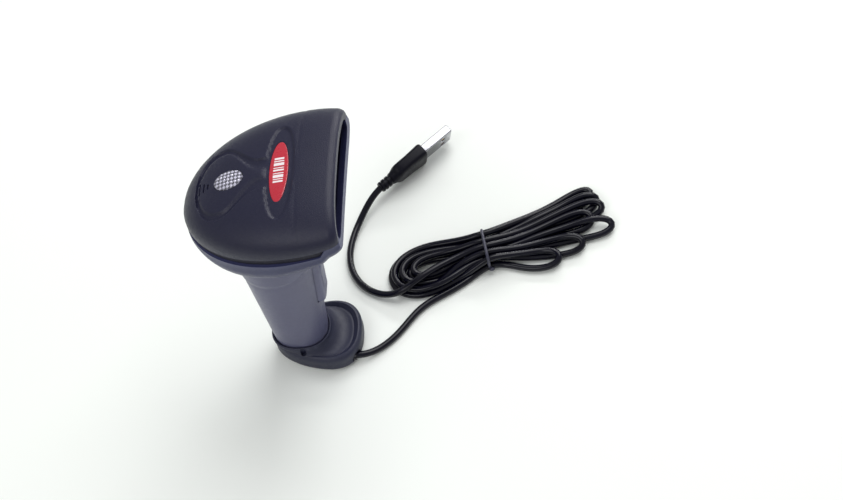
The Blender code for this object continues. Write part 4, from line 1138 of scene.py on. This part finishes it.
class SCANNER_OT_trim(Operator):
    """Builds the badge with its plain striped mark and the ribbed indicator lens"""
    bl_idname = "scanner.trim"
    bl_label = "Badge and lens"

    def execute(self, context):
        trim, head = settings("trim"), settings("head")
        red = finish("badge_enamel", settings("finish").badge, roughness=0.28, edge_highlight=0.1, spread=0.05,
                     dust=0.02, coat=0.5, grain=0.03)
        edge = ((1.0, -2.1), (1.0, -0.24), (0.99, -0.1), (0.965, -0.03))
        rows = len(edge) + 13

        def badge_point(angle, level):
            share, drop = edge[level] if level < len(edge) else (0.93 - 0.07 * (level - len(edge)), 0.0)
            x = trim.badge_x + trim.badge_width * share * math.cos(angle)
            y = trim.badge_length * share * math.sin(angle)
            return Vector((x, y, badge_top(x, y) + drop * MM))

        bm = tube_mesh(96, rows, badge_point, True, True)
        badge = new_piece("badge_enamel_plate", bm, red)
        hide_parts("badge_plate")
        white = finish("mark_print", (0.80, 0.74, 0.76), roughness=0.4, edge_highlight=0.0, dust=0.02)
        y = MARK_START
        for i, (width, gap) in enumerate(MARK_BARS):
            build_stripe(f"badge_stripe_{i + 1}", y * MM, (y + width) * MM, white)
            y += width + gap
        clear = lens_finish()
        stand = cover_frame(trim.lens_x, head.relief * 0.15)
        count = 34

        def lens_point(angle, level):
            share = 1.0 if level < 2 else 1.0 - (level - 2) / (count - 2.6)
            x = trim.lens_length * share * math.cos(angle)
            y = trim.lens_width * share * math.sin(angle)
            if level == 0:
                return stand @ Vector((x, y, -2.6 * MM))
            bump = lens_wave(x) * lens_wave(y) * smooth_step(0.0, 0.12, 1 - share)
            return stand @ Vector((x, y, (0.15 + 0.5 * (1 - share * share) + 0.55 * bump) * MM))

        bm = tube_mesh(128, count, lens_point, True, True)
        lens = new_piece("indicator_ribbed_lens", bm, clear, angle=60)
        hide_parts("indicator_lens")
        return {"FINISHED"}


# ---- handle and foot ---------------------------------------------------------------------------

# Where the handle leaves the foot and where it meets the head.
HANDLE_FOOT_Z = 14 * MM
HANDLE_NECK_Z = 95 * MM
# The pin the trigger turns on, in millimetres.
TRIGGER_PIVOT = (5.4, 0, 80.5)


def handle_size(z):
    """Half the handle's length and half its width at a height."""
    t = (z - HANDLE_FOOT_Z) / (HANDLE_NECK_Z - HANDLE_FOOT_Z)
    flare = max(0.0, t - 0.75) ** 2
    return (13.6 + 5.9 * t + 7 * flare) * MM, (11.6 + 3.6 * t + 5 * flare) * MM


def handle_center(z):
    handle = settings("handle")
    return handle.axis_x + handle.lean * z


def handle_point(angle, z, grow=0.0):
    half_x, half_y = handle_size(z)
    power = 2 / 2.25
    return Vector((handle_center(z) + (half_x + grow) * signed_power(math.cos(angle), power),
                   (half_y + grow) * signed_power(math.sin(angle), power), z))


def handle_front_x(z):
    return handle_center(z) + handle_size(z)[0]


class SCANNER_OT_handle(Operator):
    """Builds the handle's tube with its neck ring and its slot for the trigger"""
    bl_idname = "scanner.handle"
    bl_label = "Handle"

    def execute(self, context):
        handle = settings("handle")
        rows = 96

        def skin(angle, level):
            if level < rows:
                z = handle.bottom_z + (handle.top_z - handle.bottom_z) * level / (rows - 1)
                crease_z = 73.6 + 5.6 * smooth_step(-0.3, 0.95, math.cos(angle))
                neck = 0.4 * MM * smooth_step(crease_z, crease_z + 2.4, z / MM)
                neck -= 0.2 * MM * math.exp(-((z / MM - crease_z) / 1.3) ** 2)
                return handle_point(angle, z, neck * (1 - smooth_step(92, 98, z / MM)))
            z = handle.top_z - (handle.top_z - handle.bottom_z) * (level - rows) / 11
            return handle_point(angle, z, -handle.wall)

        bm = tube_mesh(128, rows + 12, skin)
        bmesh.ops.bridge_loops(bm, edges=[edge for edge in bm.edges if edge.is_boundary])
        material = finish("handle_plastic", settings("finish").handle, roughness=0.36, grain=0.2, edge_highlight=0.25,
                          spread=0.05, dust=0.02)
        shell = new_piece("handle_tube", bm, material)
        half = handle.trigger_half_width + 0.35 * MM
        low, high = handle.trigger_bottom_z - 0.6 * MM, handle.trigger_top_z + 0.6 * MM
        cut(shell, box_body((3 * MM, -half, low), (30 * MM, half, high), 1.6 * MM, 4))
        shade_by_angle(shell)
        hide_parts("handle_shell")
        return {"FINISHED"}


def trigger_profile(share):
    """The trigger's back and front at a share of its height, and that height."""
    handle = settings("handle")
    z = handle.trigger_bottom_z + (handle.trigger_top_z - handle.trigger_bottom_z) * share
    proud = (2.1 + 0.7 * (1 - share)) * (1 - 0.9 * smooth_step(0.7, 1.0, share)) * MM
    proud -= 1.8 * MM * (1 - smooth_step(0.0, 0.07, share)) ** 2
    back = 4.4 + 6.0 * smooth_step(0.66, 0.74, share)
    return handle_front_x(z) - back * MM, handle_front_x(z) + proud, z


class SCANNER_OT_trigger(Operator):
    """Builds the trigger's rounded blade with its pivot bore"""
    bl_idname = "scanner.trigger"
    bl_label = "Trigger"

    def execute(self, context):
        handle = settings("handle")
        rows = 48

        def blade(angle, level):
            share = level / (rows - 1)
            back, front, z = trigger_profile(share)
            end = min(share, 1 - share) / 0.05
            pinch = 1 - 0.12 * max(0.0, 1 - end) ** 2
            x = (back + front) / 2 + (front - back) / 2 * pinch * signed_power(math.cos(angle), 2 / 5)
            y = handle.trigger_half_width * pinch * signed_power(math.sin(angle), 2 / 5)
            return Vector((x, y, z))

        # Painted highlight: the trigger is the handle's own plastic, coloured lighter to stand in for the
        # light on its front.
        lit_handle_color = [c * 1.12 for c in settings("finish").handle]
        material = finish("trigger_plastic_lit", lit_handle_color, roughness=0.34, grain=0.2, edge_highlight=0.35, spread=0.05,
                          dust=0.0)
        piece = new_piece("trigger_blade", tube_mesh(96, rows, blade, True, True), material, body="trigger")
        pivot = Vector(TRIGGER_PIVOT) * MM
        pin = Matrix.Translation(pivot) @ Matrix.Rotation(math.pi / 2, 4, "X")
        bore = oval_body(pin, (1.15 * MM, 1.15 * MM), -9 * MM, 9 * MM, 32)
        pocket = box_body(pivot + Vector((-6, -2.6, -3)) * MM, pivot + Vector((2.6, 2.6, 6)) * MM)
        cut(piece, bore, pocket)
        shade_by_angle(piece)
        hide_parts("trigger")
        return {"FINISHED"}


def foot_point(angle, z, inset=0.0):
    foot = settings("foot")
    x = (foot.half_length - inset) * signed_power(math.cos(angle), 2 / 2.3)
    y = (foot.half_width - inset) * signed_power(math.sin(angle), 2 / 2.3)
    return Vector((foot.center_x + x, y * (1 + foot.flare * x / foot.half_length), z))


class SCANNER_OT_foot(Operator):
    """Builds the flared boot of the foot with its rounded rim, dished top, collar and cable way"""
    bl_idname = "scanner.foot"
    bl_label = "Foot"

    def execute(self, context):
        foot = settings("foot")
        wall = [(1.8, 0.9), (2.1, 0.45), (2.7, 0.15), (3.6, 0.0), (5.2, 0.1), (7.0, 0.1), (8.6, 0.0),
                (9.6, 0.12), (10.3, 0.42), (10.9, 0.85), (11.25, 1.3), (11.45, 1.8)]
        dish = [i / 22 for i in range(1, 23)]
        collar = [(1.5, 14.5), (1.45, 14.9), (1.2, 15.3), (0.9, 15.5), (0.5, 15.45), (0.35, 15.2),
                  (0.3, 14.0), (0.3, 10.0), (0.3, 6.0)]

        def skin(angle, level):
            if level < len(wall):
                z, inset = wall[level]
                return foot_point(angle, z * MM, inset * MM)
            level -= len(wall)
            if level < len(dish):
                t = dish[level]
                outer = foot_point(angle, 11.45 * MM, 1.8 * MM)
                inner = handle_point(angle, 14.5 * MM, foot.collar_wall)
                spread = max(0.0, math.hypot(outer.x, outer.y) - math.hypot(inner.x, inner.y))
                spot = outer.lerp(inner, t)
                groove = 0.4 * MM * math.exp(-((t * spread / MM - 2.2) / 0.5) ** 2)
                groove *= smooth_step(2.0, 6.0, spread / MM)
                spot.z = (11.45 + 3.05 * t ** 3) * MM - spread * 0.17 * math.sin(math.pi * t) ** 0.7 - groove
                return spot
            grow, z = collar[level - len(dish)]
            return handle_point(angle, z * MM, grow * MM)

        bm = tube_mesh(144, len(wall) + len(dish) + len(collar), skin, True, True)
        material = finish("boot_rubber", settings("finish").foot, roughness=0.50, grain=0.3, edge_highlight=0.35,
                          spread=0.1, dust=0.03)
        boot = new_piece("foot_boot", bm, material)
        axis = Matrix.Translation((12 * MM, *CABLE_EXIT[1:])) @ Matrix.Rotation(math.pi / 2, 4, "Y")
        way = oval_body(axis, (2.9 * MM, 2.9 * MM), -14 * MM, 18 * MM, 48)
        screws = [oval_body(Matrix.Translation((x * MM, 0, 0)), (2.7 * MM, 2.7 * MM), -1 * MM, 4 * MM, 32)
                  for x in (-14.5, -2.5)]
        notch = oval_body(Matrix.Translation((-6.0 * MM, -13.4 * MM, 12.0 * MM)), (1.5 * MM, 1.1 * MM),
                          -1.6 * MM, 6 * MM, 24)
        cut(boot, way, *screws, notch)
        shade_by_angle(boot)
        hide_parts("foot_shell")
        return {"FINISHED"}


# ---- carried-over parts ------------------------------------------------------------------------

def node_finishes():
    """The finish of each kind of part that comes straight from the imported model."""
    return {
        "window": finish("filter_glass", (0.020, 0.002, 0.009), roughness=0.06, edge_highlight=0.0, spread=0.1,
                         dust=0.0, coat=0.15, specular=0.4),
        "screw": finish("blackened_steel", (0.045, 0.045, 0.050), roughness=0.35, metallic=1.0, edge_highlight=0.2,
                        dust=0.0),
        "clear": finish("light_pipe_acrylic", (0.70, 0.72, 0.78), roughness=0.1, edge_highlight=0.0, dust=0.0,
                        coat=1.0),
        "black": finish("engine_plastic", (0.010, 0.010, 0.014), roughness=0.6, grain=0.3),
        "rubber": finish("pad_rubber", (0.012, 0.012, 0.015), roughness=0.85, grain=0.8,
                         grain_scale=1400.0, edge_highlight=0.2),
        "board": board_finish(),
        "chip": finish("chip_epoxy", (0.012, 0.012, 0.013), roughness=0.5, grain=0.5,
                       grain_scale=5000.0, edge_highlight=0.3),
        "steel": finish("zinc_steel", (0.52, 0.52, 0.54), roughness=0.3, metallic=1.0, grain=0.1,
                        grain_scale=3000.0, edge_highlight=0.3, dust=0.0),
        "white": finish("white_nylon", (0.70, 0.70, 0.67), roughness=0.4, edge_highlight=0.0),
        "glass": finish("lens_glass", (0.60, 0.72, 0.80), roughness=0.03, edge_highlight=0.0, dust=0.0, coat=1.0),
        "led": finish("lamp_epoxy", (0.70, 0.06, 0.05), roughness=0.15, edge_highlight=0.0, dust=0.0, coat=0.8),
        "cord": finish("cable_jacket", settings("finish").cable),
        # The handle's carried parts get the trigger's lit copy, lighter as painted highlight.
        "handle": finish("trigger_plastic_lit", settings("finish").handle),
        "foot": finish("boot_rubber", settings("finish").foot),
        "cover": finish("cover_plastic", settings("finish").cover),
        "housing": finish("housing_plastic", settings("finish").housing),
        "badge": finish("badge_enamel", settings("finish").badge),
    }


def board_finish():
    """Solder mask with copper runs under it and pale pads."""
    found = bpy.data.materials.get("solder_mask")
    if found:
        return found
    material = finish("solder_mask", (0.012, 0.13, 0.05), roughness=0.35, edge_highlight=0.0, dust=0.0, grain=0.05)
    tree = material.node_tree
    shader = tree.nodes["Principled BSDF"]
    runs = add_node(tree, "TexBrick", add_node(tree, "TexCoord").outputs["Object"], Scale=520.0, offset=0.5,
                    Color1=(0.010, 0.115, 0.045, 1), Color2=(0.016, 0.150, 0.060, 1),
                    Mortar=(0.035, 0.24, 0.10, 1), Mortar_Size=0.03)
    feed(tree, runs.outputs["Color"], shader.inputs["Base Color"])
    return material


class SCANNER_OT_carried_parts(Operator):
    """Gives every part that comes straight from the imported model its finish"""
    bl_idname = "scanner.carried_parts"
    bl_label = "Carried-over parts"

    def execute(self, context):
        finishes = node_finishes()
        for part in frame["record"]["subparts"]:
            kind = "screw" if part["node"].startswith("cover_screw") else part["material_slot"]
            for place in frame["nodes"][part["node"]].material_slots:
                place.material = finishes[kind]
        return {"FINISHED"}


# ---- stage -------------------------------------------------------------------------------------

CAMERA_AIM = (49.3 * MM, 51.8 * MM, 0.0)
CAMERA_DISTANCE = 0.9957
CAMERA_AZIMUTH = math.radians(15.0)
CAMERA_ELEVATION = math.radians(55.4)
CAMERA_ROLL = math.radians(16.06)
CAMERA_LENS = 82.42


def area_light(name, place, aim, size, power):
    light = bpy.data.lights.new(name, "AREA")
    light.shape = "RECTANGLE"
    light.size, light.size_y = size
    light.energy = power
    obj = bpy.data.objects.new(name, light)
    obj.location = place
    obj.rotation_euler = (Vector(aim) - Vector(place)).to_track_quat("-Z", "Y").to_euler()
    bpy.context.scene.collection.objects.link(obj)


class SCANNER_OT_stage(Operator):
    """Sets the pale floor, the soft studio lights and the camera"""
    bl_idname = "scanner.stage"
    bl_label = "Stage"

    def execute(self, context):
        scene = context.scene
        scene.view_settings.view_transform = "Standard"
        bm = bmesh.new()
        bmesh.ops.create_grid(bm, x_segments=4, y_segments=4, size=6)
        floor = mesh_object("floor", bm)
        floor.data.materials.append(finish("floor_paper", settings("finish").floor, roughness=0.9, edge_highlight=0.0,
                                           spread=0.0, dust=0.0, specular=0.1))
        world = bpy.data.worlds.new("studio")
        world.use_nodes = True
        sky = world.node_tree.nodes["Background"]
        sky.inputs["Color"].default_value = (1, 1, 1, 1)
        sky.inputs["Strength"].default_value = 0.40
        scene.world = world
        area_light("key_softbox", (-0.50, -0.75, 1.10), (0.03, 0.02, 0.05), (1.0, 0.8), 5.6)
        area_light("top_softbox", (0.40, 0.60, 1.25), (0.06, 0.04, 0.0), (1.1, 0.9), 10.5)
        area_light("back_strip", (0.40, 1.0, 0.55), (0.06, 0.04, 0.03), (0.9, 0.06), 4.4)
        camera = bpy.data.objects.new("camera", bpy.data.cameras.new("camera"))
        camera.data.sensor_width = 36
        camera.data.lens = CAMERA_LENS
        turn = Matrix.Rotation(CAMERA_AZIMUTH, 4, "Z")
        turn = turn @ Matrix.Rotation(math.pi / 2 - CAMERA_ELEVATION, 4, "X")
        turn = turn @ Matrix.Rotation(-CAMERA_ROLL, 4, "Z")
        aim = Vector(CAMERA_AIM)
        camera.matrix_world = Matrix.Translation(aim + turn.to_3x3() @ Vector((0, 0, CAMERA_DISTANCE))) @ turn
        scene.collection.objects.link(camera)
        scene.camera = camera
        return {"FINISHED"}


# ---- add-on ------------------------------------------------------------------------------------

OPERATORS = (SCANNER_OT_stage, SCANNER_OT_cable, SCANNER_OT_top_cover, SCANNER_OT_lower_housing,
             SCANNER_OT_mouth, SCANNER_OT_trim, SCANNER_OT_handle, SCANNER_OT_trigger, SCANNER_OT_foot,
             SCANNER_OT_carried_parts)


class SCANNER_PT_panel(Panel):
    """The scanner's sizes, finishes and build steps"""
    bl_label = "Barcode scanner"
    bl_idname = "SCANNER_PT_panel"
    bl_space_type = "VIEW_3D"
    bl_region_type = "UI"
    bl_category = "Scanner"

    def draw(self, context):
        for name, kind in SETTINGS.items():
            box = self.layout.box()
            box.label(text=name.replace("scanner_", "").capitalize())
            for key in kind.__annotations__:
                box.prop(getattr(context.scene, name), key)
        for operator in OPERATORS:
            self.layout.operator(operator.bl_idname)


CLASSES = (*SETTINGS.values(), *OPERATORS, SCANNER_PT_panel)


def register():
    for item in CLASSES:
        bpy.utils.register_class(item)
    for name, kind in SETTINGS.items():
        setattr(bpy.types.Scene, name, PointerProperty(type=kind))


def unregister():
    for name in SETTINGS:
        delattr(bpy.types.Scene, name)
    for item in reversed(CLASSES):
        bpy.utils.unregister_class(item)


def main():
    register()
    for operator in OPERATORS:
        group, name = operator.bl_idname.split(".")
        getattr(getattr(bpy.ops, group), name)()


if __name__ == "__main__":
    main()
